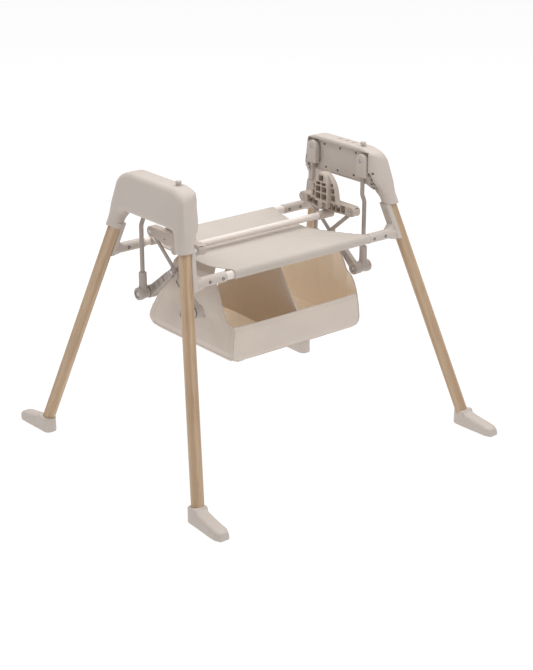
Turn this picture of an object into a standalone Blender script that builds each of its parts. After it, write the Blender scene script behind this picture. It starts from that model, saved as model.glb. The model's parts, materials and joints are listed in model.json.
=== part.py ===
"""A powered baby swing's stand, without its seat, at real size (metres, +Z up).

Two moulded towers stand on four splayed wooden legs and are tied together by two rails.
Four swing arms hang from pivots in the towers. They carry two seat carriers, stiffened by
scissor-shaped braces and joined by a cross tube, which swing to and fro along Y as one piece.
A cloth shelf is stretched between the rails, and a two-compartment basket hangs below it.

+X runs from the left tower to the right tower, -Y is the front, and the origin is on the floor
midway between the feet. Every paired piece is built for x > 0 and y > 0, then turned to its corner.
"""

from math import cos, hypot, pi, radians, sin

import bmesh
import bpy
from mathutils import Matrix, Vector

# Gaps between pieces
GAP = 0.0003
RUNNING_GAP = 0.0005

# Legs: round dowels on the line from FOOT_POINT to TOWER_POINT
FOOT_POINT = Vector((0.4000, 0.3000, 0.041))
TOWER_POINT = Vector((0.3020, 0.1360, 0.532))
LEG_RADIUS = 0.0145
LEG_BOTTOM = 0.012
LEG_TOP = 0.600

# Feet
FOOT_X = 0.4080
FOOT_HALF_WIDTH = 0.018
HEEL_Y = 0.283
TOE_Y = 0.4055
TOE_HEIGHT = 0.021

# Towers
TOWER_TOP = 0.672
TOWER_INNER_X = 0.250
TOWER_OUTER_X = 0.2965
TOWER_LEAN = 0.197
COLLAR_BOTTOM = 0.543
ARCH_Z = 0.583
COVER_X = 0.2585
COVER_THICKNESS = 0.003
COVER_HALF_LENGTH = 0.1075
COVER_TOP = 0.6635
WALL = 0.003
CAVITY_HALF_LENGTH = 0.1000
CAVITY_BOTTOM = 0.5890
CAVITY_TOP = 0.6680

# Swing arms: upper pivots in the towers, lower pivots at the elbows, both along X
PIVOT_Y = 0.088
UPPER_PIVOT_Z = 0.642
LOWER_PIVOT_Z = 0.380
SHAFT_RADIUS = 0.004
ROD_RADIUS = 0.0051
ROD_UPPER_X = 0.2525
ROD_LOWER_X = 0.2600
ROD_BOTTOM = 0.3990
HUB_RADIUS = 0.0085
HUB_BOTTOM = 0.6160
PIVOT_COVER_HALF_WIDTH = 0.016
PIVOT_COVER_X = 0.2435
PIVOT_COVER_BOTTOM = 0.5890
PIVOT_COVER_WALL = 0.0012
ELBOW_SLEEVE_RADIUS = 0.009
ELBOW_SLEEVE_TOP = 0.431
ELBOW_RADIUS = 0.015
ELBOW_X = (0.2475, 0.2770)

# Braces: two crossing bars on each side, from a lower knuckle to the opposite carrier end
CARRIER_Z = 0.523
BRACE_CENTRE_Z = (LOWER_PIVOT_Z + CARRIER_Z) / 2
BAR_HALF_WIDTH = 0.0048
BAR_X = {"inner": (0.2240, 0.2285), "outer": (0.2295, 0.2340)}
KNUCKLE_X = (0.2270, 0.2468)
KNUCKLE_RADIUS = 0.0148
SLEEVE_OUTER_X = 0.2418
RIVET_RADIUS = 0.003

# Seat carriers
CARRIER_X = (0.2150, 0.2375)
RAISED_DOME_X = 0.2030
CARRIER_END_RADIUS = 0.0122
CLEVIS_X = (0.2236, 0.2344)
DOME_HALF_WIDTH = 0.055
DOME_TOP = 0.6040
TUBE_Z = 0.499
TUBE_RADIUS = 0.008
TUBE_END_X = 0.2330
TUBE_WALL = 0.0012
SOCKET_RADIUS = 0.0105
SOCKET_X = (0.1910, 0.2360)

# Rails and their brackets
RAIL_Y = 0.155
RAIL_Z = 0.475
RAIL_RADIUS = 0.0095
RAIL_HALF_LENGTH = 0.2880
RAIL_SOCKET_RADIUS = 0.0117
RAIL_SOCKET_X = 0.2100
BRACKET_BOTTOM = 0.4560
BRACKET_TOP = 0.5425

# Cloth shelf and basket
SHELF_Z = 0.4825
CLOTH = 0.002
HEM_RADIUS = 0.0118
BASKET_HALF_LENGTH = 0.186
BASKET_HALF_WIDTH = 0.154
BASKET_BOTTOM = 0.268
BASKET_RIM = 0.343
BASKET_WALL = 0.0025
BOARD_THICKNESS = 0.003

# Buttons
KNOB_X = 0.268
KNOB_Y = -0.071
KNOB_TOP = 0.682
KEY_X = 0.274
KEY_RADIUS = 0.0055
KEY_SPACING = 0.024
KEY_Y = -0.008

ROUND = 20
ENDS = {"front": -1, "rear": 1}
SIDES = {"left": -1, "right": 1}
CORNERS = [(end, side) for end in ENDS for side in SIDES]


def clear_scene():
    for old in list(bpy.data.objects):
        bpy.data.objects.remove(old, do_unlink=True)


def make_collection(name):
    made = bpy.data.collections.new(name)
    bpy.context.scene.collection.children.link(made)
    return made


def make_material(name, colour, roughness, metallic=0.0):
    made = bpy.data.materials.new(name)
    made.use_nodes = True
    shader = made.node_tree.nodes["Principled BSDF"]
    shader.inputs["Base Color"].default_value = (*colour, 1.0)
    shader.inputs["Roughness"].default_value = roughness
    shader.inputs["Metallic"].default_value = metallic
    return made


def leg_point(z):
    """The leg's centre line at height z, for the corner at +X +Y."""
    along = (z - FOOT_POINT.z) / (TOWER_POINT.z - FOOT_POINT.z)
    return FOOT_POINT.lerp(TOWER_POINT, along)


def outer_x(z, inset=0.0):
    """The leaning outer face of a tower at height z."""
    return TOWER_OUTER_X + TOWER_LEAN * (TOWER_TOP - z) - inset


def rounded(corners, steps=5):
    """The outline through (a, b, radius) corners, each one rounded by an arc of that radius."""
    outline = []
    count = len(corners)
    for index, (a, b, radius) in enumerate(corners):
        here = Vector((a, b))
        if radius == 0:
            outline.append(here)
            continue
        before = Vector(corners[index - 1][:2]) - here
        after = Vector(corners[(index + 1) % count][:2]) - here
        half_angle = before.angle(after) / 2
        middle = (before.normalized() + after.normalized()).normalized()
        centre = here + middle * (radius / sin(half_angle))
        reach = radius * cos(half_angle) / sin(half_angle)
        start = here + before.normalized() * reach - centre
        sweep = start.angle_signed(here + after.normalized() * reach - centre)
        for step in range(steps + 1):
            turn = Matrix.Rotation(-sweep * step / steps, 2)
            outline.append(centre + turn @ start)
    return outline


def arc(centre, radius, start, end, steps=8):
    """Points on a circle in the outline's plane, from angle start to angle end in degrees."""
    angles = [radians(start + (end - start) * step / steps) for step in range(steps + 1)]
    return [Vector((centre[0] + radius * cos(t), centre[1] + radius * sin(t))) for t in angles]


def finish_mesh(mesh):
    mesh.shade_smooth()
    mesh.set_sharp_from_angle(angle=radians(32))
    return mesh


def mesh_of(build, name="shape"):
    shape = bmesh.new()
    build(shape)
    mesh = bpy.data.meshes.new(name)
    shape.to_mesh(mesh)
    shape.free()
    return finish_mesh(mesh)


def box_mesh(low, high):
    low, high = Vector(low), Vector(high)

    def build(shape):
        place = Matrix.Translation((low + high) / 2) @ Matrix.Diagonal((high - low).to_4d())
        bmesh.ops.create_cube(shape, size=1.0, matrix=place)

    return mesh_of(build)


def rod_mesh(start, end, radius, segments=ROUND, end_radius=None):
    start, end = Vector(start), Vector(end)
    length = (end - start).length
    turn = (end - start).to_track_quat("Z", "Y").to_matrix().to_4x4()

    def build(shape):
        bmesh.ops.create_cone(
            shape, cap_ends=True, segments=segments, radius1=radius,
            radius2=radius if end_radius is None else end_radius, depth=length,
            matrix=Matrix.Translation((start + end) / 2) @ turn,
        )

    return mesh_of(build)


def plate_mesh(outline, low, high, normal="X"):
    """A flat outline given as (y, z), (x, z) or (x, y) points, thickened along its normal."""
    curve = bpy.data.curves.new("outline", "CURVE")
    curve.dimensions = "2D"
    curve.fill_mode = "BOTH"
    curve.extrude = (high - low) / 2
    spline = curve.splines.new("POLY")
    spline.points.add(len(outline) - 1)
    for point, (a, b) in zip(spline.points, outline):
        point.co = (a, b, 0, 1)
    spline.use_cyclic_u = True
    holder = bpy.data.objects.new("outline", curve)
    bpy.context.scene.collection.objects.link(holder)
    graph = bpy.context.evaluated_depsgraph_get()
    mesh = bpy.data.meshes.new_from_object(holder.evaluated_get(graph))
    bpy.data.objects.remove(holder, do_unlink=True)
    columns = {
        "X": ((0, 1, 0), (0, 0, 1), (1, 0, 0)),
        "Y": ((1, 0, 0), (0, 0, 1), (0, -1, 0)),
        "Z": ((1, 0, 0), (0, 1, 0), (0, 0, 1)),
    }[normal]
    turn = Matrix(columns).transposed().to_4x4()
    sign = -1 if normal == "Y" else 1
    shift = Matrix.Translation(Vector(columns[2]) * sign * (low + high) / 2)
    mesh.transform(shift @ turn)
    shape = bmesh.new()
    shape.from_mesh(mesh)
    bmesh.ops.remove_doubles(shape, verts=shape.verts, dist=0.00001)
    bmesh.ops.recalc_face_normals(shape, faces=shape.faces)
    shape.to_mesh(mesh)
    shape.free()
    mesh.materials.clear()
    return finish_mesh(mesh)


def corner_matrix(end, side):
    return Matrix.Diagonal((SIDES[side], ENDS[end], 1, 1))


def mirrored_copy(mesh, mirror):
    """The mesh moved to another corner by a mirror matrix, with its faces still pointing out."""
    copy = mesh.copy()
    copy.transform(mirror)
    if mirror.determinant() < 0:
        copy.flip_normals()
    return copy


class Builder:
    """Adds the object's pieces to one collection and the shapes that cut or join them to another."""

    def __init__(self):
        clear_scene()
        self.parts = make_collection("baby_swing")
        self.cutters = make_collection("cutters")
        self.mirror = Matrix.Identity(4)

    def piece(self, name, mesh, material, pivot=None):
        mesh = mirrored_copy(mesh, self.mirror)
        made = bpy.data.objects.new(name, mesh)
        mesh.materials.append(material)
        self.parts.objects.link(made)
        if pivot:
            made.parent = pivot
            made.matrix_parent_inverse = pivot.matrix_world.inverted()
        return made

    def helper(self, name, mesh):
        made = bpy.data.objects.new(name, mirrored_copy(mesh, self.mirror))
        self.cutters.objects.link(made)
        made.hide_render = True
        made.display_type = "WIRE"
        return made

    def boolean(self, target, mesh, operation):
        tool = self.helper(f"{operation.lower()}_{target.name}_{len(target.modifiers)}", mesh)
        change = target.modifiers.new(operation.title(), "BOOLEAN")
        change.operation = operation
        change.solver = "EXACT"
        change.object = tool

    def cut(self, target, *meshes):
        for mesh in meshes:
            self.boolean(target, mesh, "DIFFERENCE")

    def join(self, target, *meshes):
        for mesh in meshes:
            self.boolean(target, mesh, "UNION")

    def pivot(self, name, place):
        made = bpy.data.objects.new(name, None)
        made.empty_display_size = 0.02
        made.matrix_world = Matrix.Translation(self.mirror @ Vector(place))
        self.parts.objects.link(made)
        bpy.context.view_layer.update()
        return made

    def corner(self, end, side):
        self.mirror = corner_matrix(end, side)

    def side(self, side):
        self.mirror = corner_matrix("rear", side)

    def middle(self):
        self.mirror = Matrix.Identity(4)


def tower_outline():
    """The inverted-U side view of a tower, as (y, z) points."""
    half = [
        (0.1525, COLLAR_BOTTOM, 0.0),
        (0.1215, 0.6600, 0.030),
        (0.0900, TOWER_TOP, 0.060),
    ]
    arch = [
        (-0.1155, COLLAR_BOTTOM, 0.0),
        (-0.1010, ARCH_Z + 0.001, 0.016),
        (0.1010, ARCH_Z + 0.001, 0.016),
        (0.1155, COLLAR_BOTTOM, 0.0),
    ]
    mirror = [(-y, z, radius) for y, z, radius in reversed(half)]
    return rounded(half + mirror + arch)


def tower_mesh():
    """The tower's outer form: a leaning outer face with a large soft edge, and chamfered inner corners."""
    mesh = plate_mesh(tower_outline(), TOWER_INNER_X, TOWER_OUTER_X + 0.06)
    shape = bmesh.new()
    shape.from_mesh(mesh)
    bmesh.ops.dissolve_limit(
        shape, angle_limit=radians(1), verts=shape.verts, edges=shape.edges
    )
    outward = Vector((1, 0, TOWER_LEAN)).normalized()
    leg_inward = Vector((-1, 0, -0.414)).normalized()
    planes = [
        (Vector((outer_x(TOWER_TOP), 0, TOWER_TOP)), outward),
        (Vector((TOWER_INNER_X, 0, 0.615)), leg_inward),
        (Vector((TOWER_INNER_X, 0.112, 0)), Vector((-0.745, 0.667, 0))),
        (Vector((TOWER_INNER_X, -0.112, 0)), Vector((-0.745, -0.667, 0))),
    ]
    for point, normal in planes:
        everything = shape.verts[:] + shape.edges[:] + shape.faces[:]
        bmesh.ops.bisect_plane(
            shape, geom=everything, plane_co=point, plane_no=normal, clear_outer=True
        )
        bmesh.ops.holes_fill(shape, edges=[edge for edge in shape.edges if edge.is_boundary])
    on_face = [
        edge for edge in shape.edges
        if all(abs(vert.co.x - outer_x(vert.co.z)) < 0.00001 for vert in edge.verts)
        and not all(vert.co.z < COLLAR_BOTTOM + 0.001 for vert in edge.verts)
    ]
    bmesh.ops.bevel(
        shape, geom=on_face, offset=0.010, segments=3, profile=0.5, affect="EDGES"
    )
    bmesh.ops.recalc_face_normals(shape, faces=shape.faces)
    shape.to_mesh(mesh)
    shape.free()
    return finish_mesh(mesh)


def cavity_mesh():
    """The space inside a tower, from its open inner side to the leaning outer wall."""
    low, high = CAVITY_BOTTOM, CAVITY_TOP
    outline = [
        (TOWER_INNER_X - 0.01, low),
        (outer_x(low, WALL), low),
        (outer_x(high, WALL), high),
        (TOWER_INNER_X - 0.01, high),
    ]
    return plate_mesh(outline, -CAVITY_HALF_LENGTH, CAVITY_HALF_LENGTH, "Y")


def leg_hole(top, radius=LEG_RADIUS + GAP):
    return rod_mesh(leg_point(-0.05), leg_point(top + GAP), radius)


def build_tower(swing, side, materials):
    swing.side(side)
    shell = swing.piece(f"tower_shell_{side}", tower_mesh(), materials["plastic"])
    recess = box_mesh(
        (TOWER_INNER_X - 0.01, -COVER_HALF_LENGTH - GAP, ARCH_Z - 0.02),
        (COVER_X, COVER_HALF_LENGTH + GAP, COVER_TOP + GAP),
    )
    seat_low = (COVER_X - 0.002, -COVER_HALF_LENGTH - GAP, CAVITY_BOTTOM)
    seat_high = (COVER_X + COVER_THICKNESS + GAP, COVER_HALF_LENGTH + GAP, COVER_TOP + GAP)
    swing.cut(shell, recess, cavity_mesh(), box_mesh(seat_low, seat_high))
    for sign in SIDES.values():
        turn = Matrix.Diagonal((1, sign, 1, 1))
        swing.cut(shell, mirrored_copy(leg_hole(LEG_TOP), turn))
    swing.mirror = Matrix.Identity(4)
    knob_hole = rod_mesh((KNOB_X, KNOB_Y, 0.66), (KNOB_X, KNOB_Y, 0.69), 0.0060)
    flip = Matrix.Diagonal((SIDES[side], 1, 1, 1))
    swing.cut(shell, mirrored_copy(knob_hole, flip))
    if side == "right":
        for index in range(3):
            y = KEY_Y + (index - 1) * KEY_SPACING
            swing.cut(shell, rod_mesh((KEY_X, y, 0.66), (KEY_X, y, 0.69), KEY_RADIUS + RUNNING_GAP))

    swing.side(side)
    low = (COVER_X, -COVER_HALF_LENGTH, CAVITY_BOTTOM + GAP)
    high = (COVER_X + COVER_THICKNESS, COVER_HALF_LENGTH, COVER_TOP)
    cover = swing.piece(f"inner_cover_{side}", box_mesh(low, high), materials["plastic"])
    for sign in SIDES.values():
        start = (COVER_X - 0.01, sign * PIVOT_Y, UPPER_PIVOT_Z)
        end = (COVER_X + 0.02, sign * PIVOT_Y, UPPER_PIVOT_Z)
        swing.cut(cover, rod_mesh(start, end, SHAFT_RADIUS + RUNNING_GAP))


def build_leg(swing, end, side, materials):
    swing.corner(end, side)
    dowel = rod_mesh(leg_point(LEG_BOTTOM), leg_point(LEG_TOP), LEG_RADIUS, 32)
    swing.piece(f"leg_{end}_{side}", dowel, materials["wood"])


def build_foot(swing, end, side, materials):
    """A wedge-shaped boot: a collar round the leg's end and a toe that points away."""
    swing.corner(end, side)
    profile = rounded([
        (HEEL_Y, 0.0, 0.0),
        (TOE_Y, 0.0, 0.0),
        (TOE_Y, TOE_HEIGHT - 0.004, 0.004),
        (TOE_Y - 0.008, TOE_HEIGHT, 0.006),
        (0.3400, 0.0330, 0.030),
        (0.3190, 0.0480, 0.004),
        (0.2830, 0.0330, 0.004),
    ], steps=4)
    low, high = FOOT_X - FOOT_HALF_WIDTH, FOOT_X + FOOT_HALF_WIDTH
    foot = swing.piece(f"foot_{end}_{side}", plate_mesh(profile, low, high), materials["plastic"])
    edge = foot.modifiers.new("Bevel", "BEVEL")
    edge.width = 0.0022
    edge.segments = 1
    edge.limit_method = "ANGLE"
    edge.angle_limit = radians(50)
    socket = rod_mesh(leg_point(LEG_BOTTOM - GAP), leg_point(0.09), LEG_RADIUS + GAP)
    swing.cut(foot, socket)


def build_bracket(swing, end, side, materials):
    """The clasp along a leg's inner side, with the socket that holds a rail."""
    swing.corner(end, side)
    low, high = leg_point(BRACKET_BOTTOM), leg_point(BRACKET_TOP)
    clasp = rod_mesh(low, leg_point(BRACKET_TOP + 0.01), 0.0185, 20)
    bracket = swing.piece(f"rail_bracket_{end}_{side}", clasp, materials["plastic"])
    web = [
        (low.x - 0.030, BRACKET_BOTTOM + 0.004),
        (low.x, BRACKET_BOTTOM + 0.004),
        (high.x, BRACKET_TOP - 0.002),
        (high.x - 0.020, BRACKET_TOP - 0.002),
        (high.x - 0.022, BRACKET_TOP - 0.030),
        (low.x - 0.030, RAIL_Z + 0.016),
    ]
    web_mesh = plate_mesh(web, -0.0085, 0.0085, "Y")
    lean = (high.y - low.y) / (high.z - low.z)
    shear = Matrix.Identity(4)
    shear[1][2] = lean
    shear[1][3] = low.y - lean * low.z
    web_mesh.transform(shear)
    socket = rod_mesh((RAIL_SOCKET_X, RAIL_Y, RAIL_Z), (low.x, RAIL_Y, RAIL_Z), RAIL_SOCKET_RADIUS)
    swing.join(bracket, web_mesh, socket)
    rail = rod_mesh(
        (RAIL_SOCKET_X - 0.01, RAIL_Y, RAIL_Z), (RAIL_HALF_LENGTH + GAP, RAIL_Y, RAIL_Z),
        RAIL_RADIUS + GAP,
    )
    open_side = box_mesh((0.5 * LEG_RADIUS, -0.05, -0.5), (0.1, 0.05, 0.5))
    open_side.transform(Matrix.Translation(leg_point(0.5)) @ leg_turn())
    above = box_mesh((0.2, 0.0, BRACKET_TOP), (0.4, 0.3, BRACKET_TOP + 0.05))
    swing.cut(bracket, leg_hole(0.7), rail, open_side, above)


def leg_turn():
    """Turns +Z onto the leg's axis while +X stays level."""
    up = (TOWER_POINT - FOOT_POINT).normalized()
    across = Vector((1, 0, 0)) - up * up.x
    across.normalize()
    return Matrix((across, up.cross(across), up)).transposed().to_4x4()


def build_rail(swing, end, materials):
    swing.corner(end, "right")
    ends = [(sign * RAIL_HALF_LENGTH, RAIL_Y, RAIL_Z) for sign in (-1, 1)]
    rail = swing.piece(f"rail_{end}", rod_mesh(*ends, RAIL_RADIUS), materials["tube"])
    bore = [(sign * (RAIL_HALF_LENGTH + 0.01), RAIL_Y, RAIL_Z) for sign in (-1, 1)]
    swing.cut(rail, rod_mesh(*bore, RAIL_RADIUS - TUBE_WALL))


def build_arm(swing, end, side, materials):
    """A swing arm: cranked rod with a flat hub, elbow, and the shafts at both of its ends."""
    swing.corner(end, side)
    corner = f"{end}_{side}"
    pivot = swing.pivot(f"pivot_arm_{corner}", (ROD_UPPER_X, PIVOT_Y, UPPER_PIVOT_Z))
    upper = (PIVOT_Y, UPPER_PIVOT_Z)

    outline = arc(upper, HUB_RADIUS, 0, 180, 12)
    outline += [(PIVOT_Y - HUB_RADIUS, HUB_BOTTOM), (PIVOT_Y + HUB_RADIUS, HUB_BOTTOM)]
    hub = plate_mesh(outline, ROD_UPPER_X - 0.0048, ROD_UPPER_X + 0.0048)
    path = [
        (ROD_UPPER_X, HUB_BOTTOM + 0.004), (ROD_UPPER_X, 0.5620), (ROD_UPPER_X + 0.0008, 0.5570),
        (ROD_LOWER_X - 0.0008, 0.5450), (ROD_LOWER_X, 0.5400), (ROD_LOWER_X, ROD_BOTTOM),
    ]
    rod = tube_mesh([(x, PIVOT_Y, z) for x, z in path], ROD_RADIUS)
    rod = swing.piece(f"swing_arm_{corner}", rod, materials["arm"], pivot)
    shaft_start, shaft_end = ROD_UPPER_X - 0.0055, 0.2760
    hole = rod_mesh((shaft_start - 0.01, *upper), (shaft_end, *upper), SHAFT_RADIUS + GAP)
    swing.join(rod, hub)
    swing.cut(rod, hole)
    shaft = rod_mesh((shaft_start, *upper), (shaft_end, *upper), SHAFT_RADIUS)
    swing.piece(f"pivot_shaft_{corner}", shaft, materials["steel"], pivot)

    sleeve_bottom = (ROD_LOWER_X, PIVOT_Y, LOWER_PIVOT_Z)
    sleeve_top = (ROD_LOWER_X, PIVOT_Y, ELBOW_SLEEVE_TOP)
    boss = rod_mesh(
        (ELBOW_X[0], PIVOT_Y, LOWER_PIVOT_Z), (ELBOW_X[1], PIVOT_Y, LOWER_PIVOT_Z), ELBOW_RADIUS, 28
    )
    elbow = swing.piece(f"elbow_{corner}", boss, materials["plastic"], pivot)
    swing.join(elbow, rod_mesh(sleeve_bottom, sleeve_top, ELBOW_SLEEVE_RADIUS))
    bore_bottom = (ROD_LOWER_X, PIVOT_Y, ROD_BOTTOM - GAP)
    bore_top = (ROD_LOWER_X, PIVOT_Y, ELBOW_SLEEVE_TOP + 0.01)
    swing.cut(elbow, rod_mesh(bore_bottom, bore_top, ROD_RADIUS + GAP))
    pin_start = (KNUCKLE_X[0] + 0.0005, PIVOT_Y, LOWER_PIVOT_Z)
    pin_end = (ELBOW_X[1] - 0.003, PIVOT_Y, LOWER_PIVOT_Z)
    bore = rod_mesh((0.2, PIVOT_Y, LOWER_PIVOT_Z), (0.3, PIVOT_Y, LOWER_PIVOT_Z), SHAFT_RADIUS + GAP)
    swing.cut(elbow, bore)
    pin = rod_mesh(pin_start, pin_end, SHAFT_RADIUS)
    swing.piece(f"elbow_pin_{corner}", pin, materials["steel"], pivot)


def tube_mesh(points, radius):
    """A round bar bent through the points, made from a bevelled curve."""
    curve = bpy.data.curves.new("bar", "CURVE")
    curve.dimensions = "3D"
    curve.bevel_depth = radius
    curve.bevel_resolution = 3
    curve.use_fill_caps = True
    spline = curve.splines.new("POLY")
    spline.points.add(len(points) - 1)
    for target, point in zip(spline.points, points):
        target.co = (*point, 1)
    holder = bpy.data.objects.new("bar", curve)
    bpy.context.scene.collection.objects.link(holder)
    graph = bpy.context.evaluated_depsgraph_get()
    mesh = bpy.data.meshes.new_from_object(holder.evaluated_get(graph))
    bpy.data.objects.remove(holder, do_unlink=True)
    shape = bmesh.new()
    shape.from_mesh(mesh)
    bmesh.ops.remove_doubles(shape, verts=shape.verts, dist=0.00001)
    bmesh.ops.recalc_face_normals(shape, faces=shape.faces)
    shape.to_mesh(mesh)
    shape.free()
    return finish_mesh(mesh)


def build_pivot_cover(swing, end, side, materials):
    """The fixed hood over an arm's upper pivot: the arm swings inside it, out of its open bottom."""
    swing.corner(end, side)
    half = PIVOT_COVER_HALF_WIDTH

    def outline(radius, bottom):
        points = arc((PIVOT_Y, UPPER_PIVOT_Z), radius, 0, 180, 14)
        return points + [(PIVOT_Y - radius, bottom), (PIVOT_Y + radius, bottom)]

    hood = plate_mesh(outline(half, PIVOT_COVER_BOTTOM), PIVOT_COVER_X, COVER_X - GAP)
    cover = swing.piece(f"pivot_cover_{end}_{side}", hood, materials["plastic"])
    hollow = outline(half - PIVOT_COVER_WALL, PIVOT_COVER_BOTTOM - 0.01)
    inside = plate_mesh(hollow, PIVOT_COVER_X + PIVOT_COVER_WALL, COVER_X + 0.01)
    swing.cut(cover, inside)


def build_brace(swing, side, plane, carriage, materials):
    """One bar of a side's scissor-shaped brace: it rises from its knuckle to the other end's carrier."""
    end = "rear" if plane == "inner" else "front"
    swing.corner(end, side)
    foot = Vector((PIVOT_Y, LOWER_PIVOT_Z))
    head = Vector((-PIVOT_Y, CARRIER_Z))
    along = (head - foot).normalized()
    across = Vector((-along.y, along.x))

    def strip(start, end_point, start_half, end_half):
        return [
            start + across * start_half, start - across * start_half,
            end_point - across * end_half, end_point + across * end_half,
        ]

    centre = (foot + head) / 2
    bar = plate_mesh(strip(foot, head, BAR_HALF_WIDTH, BAR_HALF_WIDTH), *BAR_X[plane])
    brace = swing.piece(f"brace_{plane}_{side}", bar, materials["arm"], carriage)
    step = 0.0003
    eye = rod_mesh((BAR_X[plane][0] + step, *head), (BAR_X[plane][1] - step, *head), 0.0075)
    knuckle = rod_mesh((KNUCKLE_X[0], *foot), (KNUCKLE_X[1], *foot), KNUCKLE_RADIUS, 28)
    sleeve_end = centre - along * 0.020
    sleeve = plate_mesh(
        strip(foot, sleeve_end, 0.0118, 0.0085), BAR_X[plane][0] + step, SLEEVE_OUTER_X
    )
    swing.join(brace, eye, knuckle, sleeve)
    if plane == "inner":
        tip_low = BAR_X["outer"][1] + step
        tip = plate_mesh(
            strip(sleeve_end - along * 0.006, centre, 0.0080, 0.0066), tip_low, SLEEVE_OUTER_X - step
        )
        cap = rod_mesh((tip_low + step, *centre), (SLEEVE_OUTER_X + step, *centre), 0.0068)
        swing.join(brace, tip, cap)
    for point, radius in ((foot, SHAFT_RADIUS), (head, RIVET_RADIUS), (centre, RIVET_RADIUS)):
        swing.cut(brace, rod_mesh((0.2, *point), (0.3, *point), radius + RUNNING_GAP))


def build_rivet(swing, side, carriage, materials):
    swing.side(side)
    centre = (0.0, BRACE_CENTRE_Z)
    shank = rod_mesh((0.2220, *centre), (0.2450, *centre), RIVET_RADIUS)
    rivet = swing.piece(f"brace_rivet_{side}", shank, materials["steel"], carriage)
    outer = rod_mesh((SLEEVE_OUTER_X + 0.0006, *centre), (0.2455, *centre), 0.0048)
    inner = rod_mesh((0.2215, *centre), (BAR_X["inner"][0] - GAP, *centre), 0.0048)
    swing.join(rivet, outer, inner)


def carrier_outline():
    """The side view of a seat carrier as (y, z): a bar with round ends and a dome."""
    front, rear = (-PIVOT_Y, CARRIER_Z), (PIVOT_Y, CARRIER_Z)
    radius = CARRIER_END_RADIUS
    top = CARRIER_Z + CARRIER_END_RADIUS
    outline = arc(front, radius, 90, 270, 10)
    outline += [Vector((-0.020, CARRIER_Z - 0.0150)), Vector((0.030, CARRIER_Z - 0.0190))]
    outline += arc(rear, radius, -90, 90, 10)
    shoulder = DOME_HALF_WIDTH
    dome_radius = 0.030
    side_low = [(shoulder, top), (shoulder - 0.006, top + 0.030)]
    crown = arc((0.0, DOME_TOP - dome_radius), dome_radius, 0, 180, 12)
    mirror = [(-y, z) for y, z in reversed(side_low)]
    return outline + side_low + crown[1:-1] + mirror


def raised_dome_outline():
    """The narrower middle of the dome, which stands out towards the seat."""
    radius = 0.0228
    centre = (0.0, DOME_TOP - 0.0005 - radius)
    foot = CARRIER_Z + CARRIER_END_RADIUS - 0.0010
    return arc(centre, radius, 0, 180, 12) + [Vector((-radius, foot)), Vector((radius, foot))]


def build_carrier(swing, side, carriage, materials):
    swing.side(side)
    body = plate_mesh(carrier_outline(), *CARRIER_X)
    carrier = swing.piece(f"seat_carrier_{side}", body, materials["plastic"], carriage)
    socket = rod_mesh((SOCKET_X[0], 0, TUBE_Z), (SOCKET_X[1], 0, TUBE_Z), SOCKET_RADIUS)
    swing.join(carrier, socket, plate_mesh(raised_dome_outline(), RAISED_DOME_X, CARRIER_X[0] + 0.002))
    tube = rod_mesh(
        (SOCKET_X[0] - 0.01, 0, TUBE_Z), (TUBE_END_X + GAP, 0, TUBE_Z), TUBE_RADIUS + GAP
    )
    swing.cut(carrier, tube)
    back = CARRIER_X[1] - 0.004
    for low_y, high_y, low_z, high_z in carrier_cells():
        cell = box_mesh((RAISED_DOME_X - 0.01, low_y, low_z), (back, high_y, high_z))
        swing.cut(carrier, cell)
    for sign in SIDES.values():
        low_y, high_y = sorted((sign * 0.0550, sign * 0.1100))
        slot = box_mesh((CLEVIS_X[0], low_y, 0.50), (CLEVIS_X[1], high_y, CARRIER_Z + 0.0095))
        pin = rod_mesh((0.2, sign * PIVOT_Y, CARRIER_Z), (0.3, sign * PIVOT_Y, CARRIER_Z), RIVET_RADIUS)
        swing.cut(carrier, slot, pin)


def carrier_cells():
    """The open pockets between a carrier's ribs, as (low y, high y, low z, high z)."""
    rib = 0.0028
    cells = []
    for column, pitch in enumerate((-1.5, -0.5, 0.5, 1.5)):
        inner = column in (1, 2)
        centre = pitch * 0.0205
        half = 0.0205 / 2 - rib / 2
        rows = (0.5400, 0.5560, 0.5730) if inner else (0.5400, 0.5560)
        for low in rows:
            cells.append((centre - half, centre + half, low, low + 0.0160 - rib))
    for index in range(-3, 4):
        centre = index * 0.0190
        if index == 0:
            continue
        cells.append((centre - 0.0080, centre + 0.0080, CARRIER_Z - 0.0095, CARRIER_Z + 0.0095))
    return cells


def build_cross_tube(swing, carriage, materials):
    swing.middle()
    mesh = rod_mesh((-TUBE_END_X, 0, TUBE_Z), (TUBE_END_X, 0, TUBE_Z), TUBE_RADIUS)
    tube = swing.piece("cross_tube", mesh, materials["tube"], carriage)
    swing.cut(tube, rod_mesh((-0.25, 0, TUBE_Z), (0.25, 0, TUBE_Z), TUBE_RADIUS - TUBE_WALL))


def build_shelf(swing, materials):
    """The cloth sheet between the rails, with a sewn hem round each of them."""
    swing.middle()
    hem_right, hem_left = 0.2060, -0.1920
    left = [(hem_left, -RAIL_Y), (-0.2100, -0.1000), (-0.2100, 0.1000), (hem_left, RAIL_Y)]
    bow = 0.056
    right = [
        (hem_right - 0.004 - bow * cos(pi * y / (2 * RAIL_Y)) ** 0.6, y)
        for y in [RAIL_Y * (1 - step / 6) for step in range(1, 12)]
    ]
    outline = left + [(hem_right, RAIL_Y)] + right + [(hem_right, -RAIL_Y)]
    sheet = plate_mesh(outline, SHELF_Z - CLOTH / 2, SHELF_Z + CLOTH / 2, "Z")
    shelf = swing.piece("cloth_shelf", sheet, materials["cloth"])
    for sign in ENDS.values():
        y = sign * RAIL_Y
        swing.join(shelf, rod_mesh((hem_left, y, RAIL_Z), (hem_right, y, RAIL_Z), HEM_RADIUS))
    for sign in ENDS.values():
        y = sign * RAIL_Y
        swing.cut(shelf, rod_mesh((-0.25, y, RAIL_Z), (0.25, y, RAIL_Z), RAIL_RADIUS + GAP))


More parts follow.
